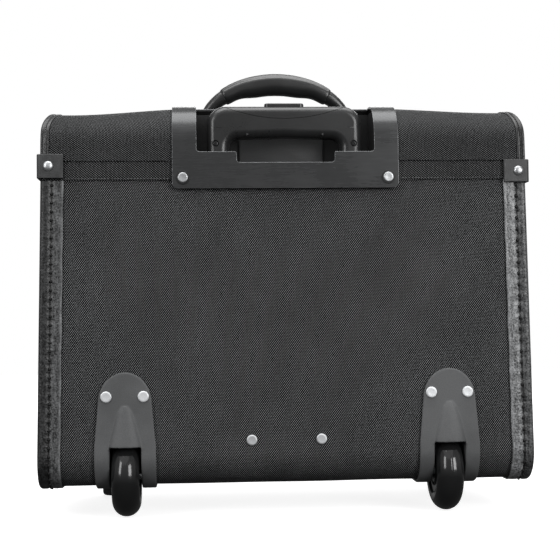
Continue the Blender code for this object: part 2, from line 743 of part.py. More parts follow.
def make_grip():
    """The glossy arch, its lens-shaped top cover, and what it holds."""
    grip = grip_blank("trolley_grip", "gloss_plastic")
    cover = grip_blank("grip_top_cover", "gloss_plastic")
    middle = (0, TUBE_Y, COVER_DIP_Z + COVER_RADIUS)
    cut(grip, cylinder("cover_seat", COVER_RADIUS, 0.05, middle, (0, 1, 0), segments=96))
    lens = cylinder("cover_lens", COVER_RADIUS - GAP, 0.05, middle, (0, 1, 0), segments=96)
    cut(cover, lens, "INTERSECT")
    opening = rounded(BUTTON[0] + 2 * GAP, BUTTON[1] + 2 * GAP, 0.004, (0, TUBE_Y))
    pocket = prism("button_pocket", [opening], "z", POCKET_Z, 0.390)
    cut(grip, pocket)
    cut(cover, pocket)
    screws = []
    for side, sign in SIDES:
        x = sign * TUBE_X
        socket = rounded(INNER_TUBE[0] + 2 * GAP, INNER_TUBE[1] + 2 * GAP, 0.0024, (x, TUBE_Y))
        cut(grip, prism(f"leg_socket_{side}", [socket], "z", 0.310, 0.3530))
        rear = TUBE_Y - GRIP_DEPTH / 2
        screw_x = sign * SCREW_X
        cut(grip, cylinder(f"screw_seat_{side}", 0.0032, 0.004, (screw_x, rear, SCREW_Z), (0, 1, 0)))
        cut(grip, screw_hole(side, screw_x))
        screws.append(make_screw(side, screw_x, rear + 0.002 - GAP))
    return grip, cover, screws


def screw_hole(side, x):
    return cylinder(f"screw_hole_{side}", HOLE_R, 0.016, (x, -0.1035, SCREW_Z), (0, 1, 0))


def make_screw(side, x, face_y):
    profile = [(0, 0.0013), (0.0020, 0.0012), (0.0028, 0), (SHANK_R, 0), (SHANK_R, -0.0075), (0, -0.0075)]
    place = Matrix.Translation((x, face_y, SCREW_Z)) @ Matrix.Rotation(math.radians(90), 4, "X")
    return turned(f"grip_screw_{side}", profile, "bright_steel", place, steps=10)


def make_button():
    outline = rounded(*BUTTON, 0.0038, (0, TUBE_Y))
    return prism("push_button", [outline], "z", BUTTON_LOW, BUTTON_HIGH, "gloss_plastic")


def make_spring():
    """The coil that returns the push button."""
    low, high = POCKET_Z + GAP + 0.0005, BUTTON_LOW - GAP - 0.0005
    turns, per_turn, radius = 4, 10, 0.0036
    curve = bpy.data.curves.new("button_spring", "CURVE")
    curve.dimensions = "3D"
    curve.bevel_depth = 0.0005
    curve.bevel_resolution = 0
    curve.use_fill_caps = True
    spline = curve.splines.new("POLY")
    count = turns * per_turn
    spline.points.add(count)
    for n, point in enumerate(spline.points):
        angle = 2 * math.pi * n / per_turn
        height = low + (high - low) * n / count
        point.co = (radius * math.cos(angle), radius * math.sin(angle), height, 1)
    guide = bpy.data.objects.new("spring_path", curve)
    CUTTERS.objects.link(guide)
    bpy.context.view_layer.update()
    graph = bpy.context.evaluated_depsgraph_get()
    drawn = bpy.data.meshes.new_from_object(guide.evaluated_get(graph))
    bpy.data.objects.remove(guide, do_unlink=True)
    drawn.materials.clear()
    mesh = mesh_from("button_spring", lambda bm: bm.from_mesh(drawn))
    return add("button_spring", mesh, "bright_steel", Matrix.Translation((0, TUBE_Y, 0)))


# ---------------------------------------------------------------- wheels

def make_housing(side, sign):
    """The moulded wheel housing: arched plate over the rear edge, hood, and the well inside."""
    x = sign * WHEEL_X
    low_z = WALL_BOTTOM + WALL_BEND
    low_y = WALL_BEND - WALL_Y
    inner = WALL_BEND + GAP
    outer = inner + PLATE_THICK
    rear = low_y - outer
    band = [(rear, ARCH_TOP + 0.005)] + arc((low_y, low_z), outer, 180, 270, 6)
    band += [(HOUSING_FRONT, low_z - outer), (HOUSING_FRONT, low_z - inner)]
    band += arc((low_y, low_z), inner, 270, 180, 6) + [(low_y - inner, ARCH_TOP + 0.005)]
    housing = prism(f"wheel_housing_{side}", [band], "x", x - 0.030, x + 0.030, "grey_plastic")
    arch = [(x - 0.0285, 0.010), (x + 0.0285, 0.010), (x + 0.0285, 0.060)]
    arch += ellipse((x, 0.1085), (0.0240, ARCH_TOP - 0.1085), 0, 180, 12)
    arch += [(x - 0.0285, 0.060)]
    cut(housing, prism(f"arch_shape_{side}", [arch], "y", -0.150, 0), "INTERSECT")
    hood = cylinder(f"hood_{side}", 0.0172, 0.036, (x, -0.1125, 0.0835), (0, 0, 1), segments=20, tip=0.0065)
    hood.scale = (1, 0.45, 1)
    cut(hood, box(f"hood_back_{side}", (x - 0.03, rear + 0.0015, 0.060), (x + 0.03, -0.095, 0.110)))
    join(housing, hood)
    reach = SLOT_HALF + CHEEK
    fit = inner + 0.0012
    room = [(HOUSING_FRONT, low_z - fit), (HOUSING_FRONT, HOUSING_TOP), (-WALL_Y + 0.002, HOUSING_TOP)]
    room += [(low_y - fit, HOUSING_TOP - 0.001)] + arc((low_y, low_z), fit, 180, 270, 6)
    join(housing, prism(f"inner_well_{side}", [room], "x", x - reach, x + reach))
    cut(housing, box(f"wheel_slot_{side}", (x - SLOT_HALF, -0.1100, 0.010),
                     (x + SLOT_HALF, HOUSING_FRONT - CHEEK, HOUSING_TOP - CHEEK)))
    cut(housing, box(f"rear_slot_{side}", (x - SLOT_HALF, -0.150, 0.010),
                     (x + SLOT_HALF, -0.105, 0.0660)))
    cut(housing, cylinder(f"axle_bore_{side}", AXLE_R + GAP, 0.040, (x, AXLE_Y, WHEEL_R), (1, 0, 0),
                          segments=16))
    for number, offset in enumerate((-PLATE_RIVET_X, PLATE_RIVET_X), 1):
        cut(housing, rear_hole(x + offset, PLATE_RIVET_Z))
        shank = PLATE_THICK + WALL + 3 * GAP
        rivet(f"wheel_rivet_{side}_{number}", x + offset, PLATE_RIVET_Z, rear - GAP, shank, 0.0050, FLAT)


def make_wheel(side, sign):
    """A soft tyre moulded round a hub, which turns on two ball bearings with a spacer between."""
    place = Matrix.Translation((sign * WHEEL_X, AXLE_Y, WHEEL_R)) @ Matrix.Rotation(math.radians(90), 4, "Y")
    tread = TYRE_HALF
    bore = 0.0150
    ring = WHEEL_R - tread
    tyre = ellipse((ring, 0), (tread, tread), 75, -75, 10)
    tyre += [(0.0215, -0.0118), (bore, -0.0112), (bore, 0.0112), (0.0215, 0.0118)]
    hub_r, seat, throat = bore - GAP, 0.0112, 0.0085
    hub = [(hub_r, 0.0112), (hub_r, -0.0112), (seat, -0.0112), (seat, -0.0040), (throat, -0.0040)]
    hub += [(throat, 0.0040), (seat, 0.0040), (seat, 0.0112)]
    pieces = [turned(f"tyre_{side}", tyre, "rubber", place, steps=32, closed=True)]
    pieces.append(turned(f"hub_{side}", hub, "matte_plastic", place, steps=24, closed=True))
    race, waist, eye = seat - GAP, throat - GAP, AXLE_R + GAP
    bearings = [(race, 0.0110), (race, 0.0043), (waist, 0.0043), (waist, -0.0043), (race, -0.0043)]
    bearings += [(race, -0.0110), (eye, -0.0110), (eye, 0.0110)]
    name = f"wheel_bearings_{side}"
    pieces.append(turned(name, bearings, "bright_steel", place, steps=16, closed=True))
    reach = SLOT_HALF + CHEEK - GAP
    cylinder(f"axle_{side}", AXLE_R, 2 * reach, place.translation, (1, 0, 0), "bright_steel", 16)
    return pieces


# ---------------------------------------------------------------- assembly

def build_case():
    """Everything that stays put, then the moving bodies, each under an empty on its axis."""
    window = make_window()
    places = [at[side] for at in (TAB_RIVET, BEZEL_RIVET, BASE_RIVET) for side, sign in SIDES]
    places += [(sign * WHEEL_X + dx, PLATE_RIVET_Z) for side, sign in SIDES
               for dx in (-PLATE_RIVET_X, PLATE_RIVET_X)]
    wall_holes = [rear_hole(*place) for place in places]
    make_wrap(window, wall_holes)
    make_side_panels()
    make_bindings()
    make_mouth_frame()
    make_lining()
    make_feet()
    make_rear_strip(window)
    make_hem(window, wall_holes[:4])
    make_corner_tabs()
    make_bezel()
    make_well()
    make_foot_block()
    for side, sign in SIDES:
        make_tube("outer_tube", OUTER_TUBE, 0.046, WELL_FLOOR - WELL_WALL - GAP, side, sign, "aluminium")
        make_housing(side, sign)


def build_trolley():
    middle_pieces = []
    inner_pieces = []
    for side, sign in SIDES:
        middle_pieces.append(
            make_tube("middle_tube", MIDDLE_TUBE, 0.048, 0.3220, side, sign, "aluminium"))
        tube = make_tube("inner_tube", INNER_TUBE, 0.050, 0.3525, side, sign, "aluminium")
        cut(tube, screw_hole(side + "_tube", sign * SCREW_X))
        inner_pieces.append(tube)
    grip, cover, screws = make_grip()
    inner_pieces += [grip, cover, *screws, make_spring()]
    first = hold("trolley_stage_1_slide", (0, TUBE_Y, WELL_FLOOR), middle_pieces)
    second = hold("trolley_stage_2_slide", (0, TUBE_Y, GRIP_BAR_Z), inner_pieces, first)
    hold("push_button_press", (0, TUBE_Y, BUTTON_HIGH), [make_button()], second)


def build_lid():
    pieces = [make_lid(), *make_brackets()]
    hasps = []
    for side, sign in SIDES:
        hinge, hasp = make_hasp(side, sign)
        pieces.append(hinge)
        hasps.append((side, sign, hasp))
        button = make_latch(side, sign)[1]
        hold(f"{side}_latch_button_slide", (sign * LATCH_X, WALL_Y, 0.245), [button])
    lid = hold("lid_hinge", (0, HINGE_Y, HINGE_Z), pieces)
    hold("carry_handle_fold", (0, HANDLE_Y, PIVOT_Z), [make_handle()], lid)
    for side, sign, hasp in hasps:
        hold(f"{side}_hasp_hinge", (sign * LATCH_X, HASP_Y, HASP_Z), [hasp], lid)


def build_wheels():
    for side, sign in SIDES:
        hold(f"{side}_wheel_spin", (sign * WHEEL_X, AXLE_Y, WHEEL_R), make_wheel(side, sign))


def shade():
    """Round pieces are shaded smooth, with their real corners kept sharp."""
    for obj in PARTS.objects:
        if obj.type == "MESH":
            obj.data.shade_smooth()
            obj.data.set_sharp_from_angle(angle=math.radians(35))


build_case()
build_trolley()
build_lid()
build_wheels()
shade()
bpy.context.view_layer.update()
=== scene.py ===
"""The looks of a rolling pilot case: its cloth, leather, steel and moulded plastic."""

import logging
import math
from collections.abc import Callable, Iterator, Sequence
from contextlib import contextmanager
from dataclasses import dataclass
from enum import Enum

import bpy
import numpy as np
from mathutils import Matrix, Vector


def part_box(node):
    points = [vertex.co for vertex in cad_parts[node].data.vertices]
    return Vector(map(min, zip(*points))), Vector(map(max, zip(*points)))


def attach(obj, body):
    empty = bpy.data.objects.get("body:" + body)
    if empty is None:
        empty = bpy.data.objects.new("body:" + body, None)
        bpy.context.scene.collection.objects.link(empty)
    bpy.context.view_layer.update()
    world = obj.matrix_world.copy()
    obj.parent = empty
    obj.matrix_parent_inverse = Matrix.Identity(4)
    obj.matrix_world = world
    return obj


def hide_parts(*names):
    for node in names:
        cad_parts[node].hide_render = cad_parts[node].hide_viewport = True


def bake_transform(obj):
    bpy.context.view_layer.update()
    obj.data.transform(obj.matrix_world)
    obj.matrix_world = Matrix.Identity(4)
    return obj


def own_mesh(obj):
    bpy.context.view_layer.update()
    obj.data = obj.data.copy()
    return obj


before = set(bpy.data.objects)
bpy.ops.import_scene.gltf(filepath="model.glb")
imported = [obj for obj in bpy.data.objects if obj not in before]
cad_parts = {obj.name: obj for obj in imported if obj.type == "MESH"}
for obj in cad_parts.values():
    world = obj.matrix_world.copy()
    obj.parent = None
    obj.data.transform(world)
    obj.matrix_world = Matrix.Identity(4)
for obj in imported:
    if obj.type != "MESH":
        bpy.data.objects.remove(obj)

LOG = logging.getLogger("pilot_case")
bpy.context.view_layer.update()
CLOTH_MAP = "cloth"
# Attribute of edge wear, which on the lid tapes holds painted glints.
WEAR_AND_GLINT = "wear"
# Attribute of a painted sheen on the bindings' inner band and of painted shade on their outer band and in their
# groove.
PAINTED_SHEEN = "band"

Piece = bpy.types.Object
Socket = bpy.types.NodeSocket
Outline = Sequence[tuple[float, float]]
Pick = Callable[[Vector, Vector], bool]
Floats = np.ndarray

GAP = 0.0003
HALF_WIDTH = 0.2305
BASE_Z = 0.027
LEAN = 0.0755
WALL_Y = 0.110
WALL_BOTTOM = 0.0285
WALL_TOP = 0.340
WALL_BEND = 0.030
SHELL_X = 0.2287
LID_Y = 0.1128
LID_TOP = 0.382
LID_BEND = 0.035
WINDOW_HALF = 0.0835
HINGE_Y = -0.057
WHEEL_X = 0.150
SHOULDER_Z = 0.3570
MERGE = 1e-6
LID_BODIES = ("case", "lid")


class Side(Enum):
    """The two sides of the case, seen from its rear."""

    LEFT = -1
    RIGHT = 1

    @property
    def tag(self) -> str:
        """The side's name as it stands in node names."""
        return self.name.lower()


# ---------------------------------------------------------------- hand tools


def clear_selection() -> None:
    """Leaves edit mode and deselects every object."""
    if bpy.context.object and bpy.context.object.mode != "OBJECT":
        bpy.ops.object.mode_set(mode="OBJECT")
    bpy.ops.object.select_all(action="DESELECT")


def take(piece: Piece) -> None:
    """Makes one piece the only selected one, and the active one.

    Args:
        piece: The piece to select.
    """
    clear_selection()
    bpy.context.view_layer.objects.active = piece
    piece.select_set(True)


@contextmanager
def editing(piece: Piece, kind: str = "FACE", pick: Pick | None = None) -> Iterator[None]:
    """Opens a piece in edit mode.

    Args:
        piece: The piece to open.
        kind: VERT, EDGE or FACE, the select mode.
        pick: A test of an element's place and normal, or None to select everything.
    """
    take(piece)
    bpy.ops.object.mode_set(mode="EDIT")
    bpy.ops.mesh.select_mode(type=kind)
    bpy.ops.mesh.select_all(action="DESELECT" if pick else "SELECT")
    if pick:
        bpy.ops.object.mode_set(mode="OBJECT")
        mesh = piece.data
        if kind == "FACE":
            for face in mesh.polygons:
                face.select = pick(face.center, face.normal)
        elif kind == "VERT":
            for vertex in mesh.vertices:
                vertex.select = pick(vertex.co, vertex.normal)
        else:
            for edge in mesh.edges:
                a, b = (mesh.vertices[n].co for n in edge.vertices)
                edge.select = pick((a + b) / 2, (b - a).normalized())
        bpy.ops.object.mode_set(mode="EDIT")
    yield
    bpy.ops.object.mode_set(mode="OBJECT")


def settle(piece: Piece) -> Piece:
    """Applies a piece's place, merges its doubles and turns its faces outwards.

    Args:
        piece: The piece to clean.

    Returns:
        The same piece.
    """
    take(piece)
    bpy.ops.object.transform_apply(location=True, rotation=True, scale=True)
    with editing(piece):
        bpy.ops.mesh.remove_doubles(threshold=MERGE)
        bpy.ops.mesh.normals_make_consistent(inside=False)
    return piece


def apply_step(piece: Piece, kind: str, **settings: object) -> Piece:
    """Adds a modifier with its settings and applies it.

    Args:
        piece: The piece to change.
        kind: The modifier's type.
        settings: Its settings, by name.

    Returns:
        The same piece.
    """
    take(piece)
    step = piece.modifiers.new(kind.lower(), kind)
    for key, value in settings.items():
        setattr(step, key, value)
    bpy.ops.object.modifier_apply(modifier=step.name)
    return piece


def carve(piece: Piece, tool: Piece, operation: str = "DIFFERENCE") -> Piece:
    """Cuts, joins or intersects a piece with a tool, which is used up.

    Args:
        piece: The piece to change.
        tool: The other piece.
        operation: DIFFERENCE, UNION or INTERSECT.

    Returns:
        The same piece.
    """
    apply_step(piece, "BOOLEAN", object=tool, operation=operation, solver="EXACT")
    bpy.data.objects.remove(tool, do_unlink=True)
    return piece


def round_edges(piece: Piece, width: float, segments: int = 2, angle: float = 40, rim: int = -1) -> Piece:
    """Rounds the edges that are sharper than an angle.

    Args:
        piece: The piece to round.
        width: The width of the rounding, in metres.
        segments: The faces across it.
        angle: The least angle between faces, in degrees.
        rim: The material slot of the new faces, or -1 to keep their neighbours'.

    Returns:
        The same piece.
    """
    return apply_step(piece, "BEVEL", width=width, segments=segments, limit_method="ANGLE",
                      angle_limit=math.radians(angle), material=rim, harden_normals=False)


def shade(piece: Piece, angle: float = 35, even: bool = False) -> Piece:
    """Shades a piece smooth.

    Args:
        piece: The piece to shade.
        angle: The edges sharper than this many degrees stay sharp.
        even: Whether its large faces keep their own normals, so that only the small ones curve.

    Returns:
        The same piece.
    """
    take(piece)
    bpy.ops.object.shade_smooth_by_angle(angle=math.radians(angle))
    if even:
        apply_step(piece, "WEIGHTED_NORMAL", keep_sharp=True, weight=100)
    return piece


def named(name: str) -> Piece:
    """Names the object that an operator has just added.

    Args:
        name: The name of the object and its mesh.

    Returns:
        The object.
    """
    piece = bpy.context.active_object
    piece.name = name
    piece.data.name = name
    return piece


def block(name: str, low: Sequence[float], high: Sequence[float]) -> Piece:
    """A box between two corners.

    Args:
        name: The piece's name.
        low: Its lowest corner.
        high: Its highest corner.

    Returns:
        The box.
    """
    clear_selection()
    size = Vector(high) - Vector(low)
    bpy.ops.mesh.primitive_cube_add(size=1, location=(Vector(high) + Vector(low)) / 2)
    piece = named(name)
    piece.scale = size
    return settle(piece)


def window_block() -> Piece:
    """The cutter of the opening behind the bezel, which the trolley's well fills."""
    return block("window", (-WINDOW_HALF, -0.140, 0.3265), (WINDOW_HALF, -0.066, 0.400))


def middle_of(node: str) -> tuple[float, ...]:
    """The middle of a CAD node's box."""
    return tuple((a + b) / 2 for a, b in zip(*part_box(node)))


AXES = {"x": Vector((1, 0, 0)), "y": Vector((0, 1, 0)), "z": Vector((0, 0, 1))}


def on_plane(axis: str, a: float, b: float, depth: float) -> Vector:
    """The point of an outline's (a, b) at a depth along the axis that it is drawn across."""
    return Vector({"x": (depth, a, b), "y": (a, depth, b), "z": (a, b, depth)}[axis])


def slab(name: str, outline: Outline, axis: str, low: float, high: float) -> Piece:
    """A flat outline, extruded along an axis.

    Args:
        name: The piece's name.
        outline: Its corners, as (y, z) across x, (x, z) across y or (x, y) across z.
        axis: The axis to extrude along.
        low: Where it starts on the axis.
        high: Where it ends.

    Returns:
        The closed piece.
    """
    clear_selection()
    bpy.ops.mesh.primitive_circle_add(vertices=len(outline), radius=1, fill_type="NGON")
    piece = named(name)
    for vertex, (a, b) in zip(piece.data.vertices, outline):
        vertex.co = on_plane(axis, a, b, low)
    with editing(piece):
        bpy.ops.mesh.extrude_region_move(
            TRANSFORM_OT_translate={"value": AXES[axis] * (high - low)})
    return settle(piece)


def turned(name: str, profile: Outline, centre: Sequence[float], axis: Sequence[float], steps: int = 40) -> Piece:
    """A profile of (radius, height) spun about an axis through a centre.

    Args:
        name: The piece's name.
        profile: Its corners, from the axis outwards and back, or a closed ring.
        centre: The point of height zero on the axis.
        axis: The direction in which height grows.
        steps: The faces round it.

    Returns:
        The closed piece.
    """
    clear_selection()
    bpy.ops.mesh.primitive_circle_add(vertices=len(profile), radius=1, fill_type="NOTHING")
    piece = named(name)
    for vertex, (radius, height) in zip(piece.data.vertices, profile):
        vertex.co = (radius, 0, height)
    with editing(piece, "EDGE", lambda middle, _: Vector(middle.xy).length > 1e-7):
        bpy.ops.mesh.spin(steps=steps, angle=2 * math.pi, center=(0, 0, 0), axis=(0, 0, 1))
        bpy.ops.mesh.select_all(action="SELECT")
        bpy.ops.mesh.remove_doubles(threshold=MERGE)
        bpy.ops.mesh.delete_loose(use_verts=True, use_edges=True, use_faces=False)
    turn = Vector((0, 0, 1)).rotation_difference(Vector(axis)).to_matrix().to_4x4()
    piece.data.transform(Matrix.Translation(centre) @ turn)
    return settle(piece)


def rod(name: str, radius: float, half: float, centre: Sequence[float], steps: int = 24) -> Piece:
    """A plain cylinder along x, half its length to each side of its centre."""
    return turned(name, [(0, -half), (radius, -half), (radius, half), (0, half)], centre, (1, 0, 0), steps)


def laid_grid(name: str, across: Floats, along: Floats,
              place: Callable[[Floats, Floats], tuple[Floats, Floats]], cloth: bool = True) -> Piece:
    """A grid whose points are laid one by one along a surface.

    Args:
        name: The piece's name.
        across: The values of its columns.
        along: The values of its rows.
        place: Gives the points and outward normals for arrays of both values.
        cloth: Whether its map holds both values in metres.

    Returns:
        The open sheet, facing outwards.
    """
    clear_selection()
    bpy.ops.mesh.primitive_grid_add(x_subdivisions=len(across) - 1, y_subdivisions=len(along) - 1, size=1)
    piece = named(name)
    mesh = piece.data
    flat = np.zeros(len(mesh.vertices) * 3)
    mesh.vertices.foreach_get("co", flat)
    flat = flat.reshape(-1, 3)
    u = across[np.rint((flat[:, 0] + 0.5) * (len(across) - 1)).astype(int)]
    v = along[np.rint((flat[:, 1] + 0.5) * (len(along) - 1)).astype(int)]
    points, normals = place(u, v)
    mesh.vertices.foreach_set("co", points.ravel())
    mesh.update()
    if cloth:
        corners = np.zeros(len(mesh.loops), int)
        mesh.loops.foreach_get("vertex_index", corners)
        layer = mesh.uv_layers.active
        layer.name = CLOTH_MAP
        layer.data.foreach_set("uv", np.stack([u, v], 1)[corners].ravel())
    facing = sum(face.normal.dot(Vector(normals[face.vertices[0]])) for face in mesh.polygons)
    if facing < 0:
        with editing(piece):
            bpy.ops.mesh.flip_normals()
    return piece


def thicken(piece: Piece, thickness: float, lining: bool = False) -> Piece:
    """Gives an open sheet a wall on its inner side, which takes the next slot if it is lined.

    Args:
        piece: The open sheet.
        thickness: The wall's thickness, in metres.
        lining: Whether the inner side has its own finish.

    Returns:
        The same piece.
    """
    inner = 1 if lining else 0
    return apply_step(piece, "SOLIDIFY", thickness=thickness, offset=-1, use_even_offset=False,
                      material_offset=inner, material_offset_rim=0)


def lofted(name: str, rings: Floats) -> Piece:
    """A closed skin over rings of points, whose first and last ring close on a point.

    Args:
        name: The piece's name.
        rings: The points, as stations by sides by three.

    Returns:
        The closed piece.
    """
    stations, sides = rings.shape[:2]
    middles = rings.mean(axis=1, keepdims=True)
    closed = np.concatenate([np.repeat(middles[:1], sides, 1), rings, np.repeat(middles[-1:], sides, 1)])
    closed = np.concatenate([closed, closed[:, :1]], axis=1)

    def place(u: Floats, v: Floats) -> tuple[Floats, Floats]:
        """The skin's points, which all face any way."""
        points = closed[v.astype(int), u.astype(int)]
        return points, np.ones_like(points)

    piece = laid_grid(name, np.arange(sides + 1.0), np.arange(stations + 2.0), place, cloth=False)
    return settle(piece)


def arc(middle: tuple[float, float], radius: float, start: float, end: float,
        steps: int = 8) -> list[tuple[float, float]]:
    """Points on an arc between two angles in degrees."""
    angles = np.radians(np.linspace(start, end, steps + 1))
    return [(middle[0] + radius * math.cos(t), middle[1] + radius * math.sin(t)) for t in angles]


def rounded(width: float, height: float, radius: float, middle: tuple[float, float] = (0, 0),
            steps: int = 6) -> list[tuple[float, float]]:
    """A rectangle's outline with round corners.

    Args:
        width: Its size across.
        height: Its size up.
        radius: The radius of its corners.
        middle: Its middle.
        steps: The faces of a corner.

    Returns:
        The corners of the outline.
    """
    a, b = width / 2 - radius, height / 2 - radius
    corners = ((a, b, 0), (-a, b, 90), (-a, -b, 180), (a, -b, 270))
    return [p for x, y, t in corners
            for p in arc((middle[0] + x, middle[1] + y), radius, t, t + 90, steps)]


def smoothstep(value: Floats, low: float, high: float) -> Floats:
    """Rises smoothly from 0 at low to 1 at high."""
    t = np.clip((np.asarray(value, float) - low) / (high - low), 0, 1)
    return t * t * (3 - 2 * t)


def repeated(name: str, first: Piece, places: Sequence[Matrix]) -> Piece:
    """One mesh holding a copy of a small piece at each place, the first piece being used up.

    Args:
        name: The new piece's name.
        first: The small piece.
        places: Where the copies stand.

    Returns:
        The joined piece.
    """
    points = np.array([v.co for v in first.data.vertices])
    faces = [list(f.vertices) for f in first.data.polygons]
    bpy.data.objects.remove(first, do_unlink=True)
    every, joined = [], []
    for n, place in enumerate(places):
        m = np.array(place)
        every.append(points @ m[:3, :3].T + m[:3, 3])
        joined += [[i + n * len(points) for i in face] for face in faces]
    mesh = bpy.data.meshes.new(name)
    mesh.from_pydata(np.concatenate(every).tolist(), [], joined)
    piece = bpy.data.objects.new(name, mesh)
    bpy.context.scene.collection.objects.link(piece)
    return shade(piece, 60)


def frame_at(point: Vector, along: Vector, out: Vector) -> Matrix:
    """The place of a small piece: its x runs along, its z points out.

    Args:
        point: Its origin.
        along: The direction of its x.
        out: The direction that its z leans to.

    Returns:
        The place.
    """
    x = along.normalized()
    z = (out - x * out.dot(x)).normalized()
    y = z.cross(x)
    return Matrix.Translation(point) @ Matrix((x, y, z)).transposed().to_4x4()


def thread_stitches(name: str, places: Sequence[Matrix], length: float, width: float) -> Piece:
    """Short plump stitches, one at each place.

    Args:
        name: The piece's name.
        places: Where they lie.
        length: A stitch's length.
        width: Its thickness.

    Returns:
        The stitches, as one piece.
    """
    clear_selection()
    bpy.ops.mesh.primitive_uv_sphere_add(segments=8, ring_count=6, radius=0.5)
    first = named(name + "_first")
    with editing(first, "VERT"):
        bpy.ops.transform.rotate(value=math.pi / 2, orient_axis="Y", center_override=(0, 0, 0))
    first.scale = (length, width, width)
    return repeated(name, settle(first), places)


@dataclass(frozen=True)
class Path:
    """A line in (y, z) that is walked by its length."""

    points: tuple[tuple[float, float], ...]
    turn: int

    @property
    def stops(self) -> Floats:
        """The length at each point."""
        steps = np.linalg.norm(np.diff(np.array(self.points), axis=0), axis=1)
        return np.concatenate([[0], np.cumsum(steps)])

    @property
    def length(self) -> float:
        """The whole length."""
        return float(self.stops[-1])

    def at(self, s: Floats) -> tuple[Floats, Floats, Floats, Floats]:
        """The place and outward normal at lengths s, as y, z, ny and nz.

        Args:
            s: The lengths from the path's start.

        Returns:
            The four arrays.
        """
        points, stops = np.array(self.points), self.stops
        tangents = np.gradient(points, stops, axis=0)
        tangents /= np.linalg.norm(tangents, axis=1, keepdims=True)
        y, z, ty, tz = (np.interp(s, stops, c) for c in (*points.T, *tangents.T))
        size = np.hypot(ty, tz)
        return y, z, self.turn * tz / size, -self.turn * ty / size


def walk(parts: Sequence[tuple[float, float, float]]) -> Floats:
    """Lengths to stop at, from (start, end, step) stretches that follow each other."""
    stops = [np.linspace(a, b, max(2, round((b - a) / step) + 1)) for a, b, step in parts]
    return np.unique(np.round(np.concatenate(stops), 6))


def lean(x: Floats, z: Floats) -> Floats:
    """Draws a width in as it rises, as the whole shell does."""
    return x * (1 - LEAN * (z - BASE_Z))


def round_in(z: Floats) -> Floats:
    """How far the lid's ends are rounded in towards its top."""
    t = np.clip((np.asarray(z, float) - SHOULDER_Z) / (LID_TOP - SHOULDER_Z), 0, 0.999)
    return 0.0088 * (1 - np.sqrt(1 - t * t))


def sag(x: Floats) -> Floats:
    """How far the lid's top falls away towards its ends, more so on the left."""
    depth = np.where(np.asarray(x) < 0, 0.0058, 0.0038)
    return depth * smoothstep(np.abs(x), 0.085, 0.200)


# ---------------------------------------------------------------- finishes


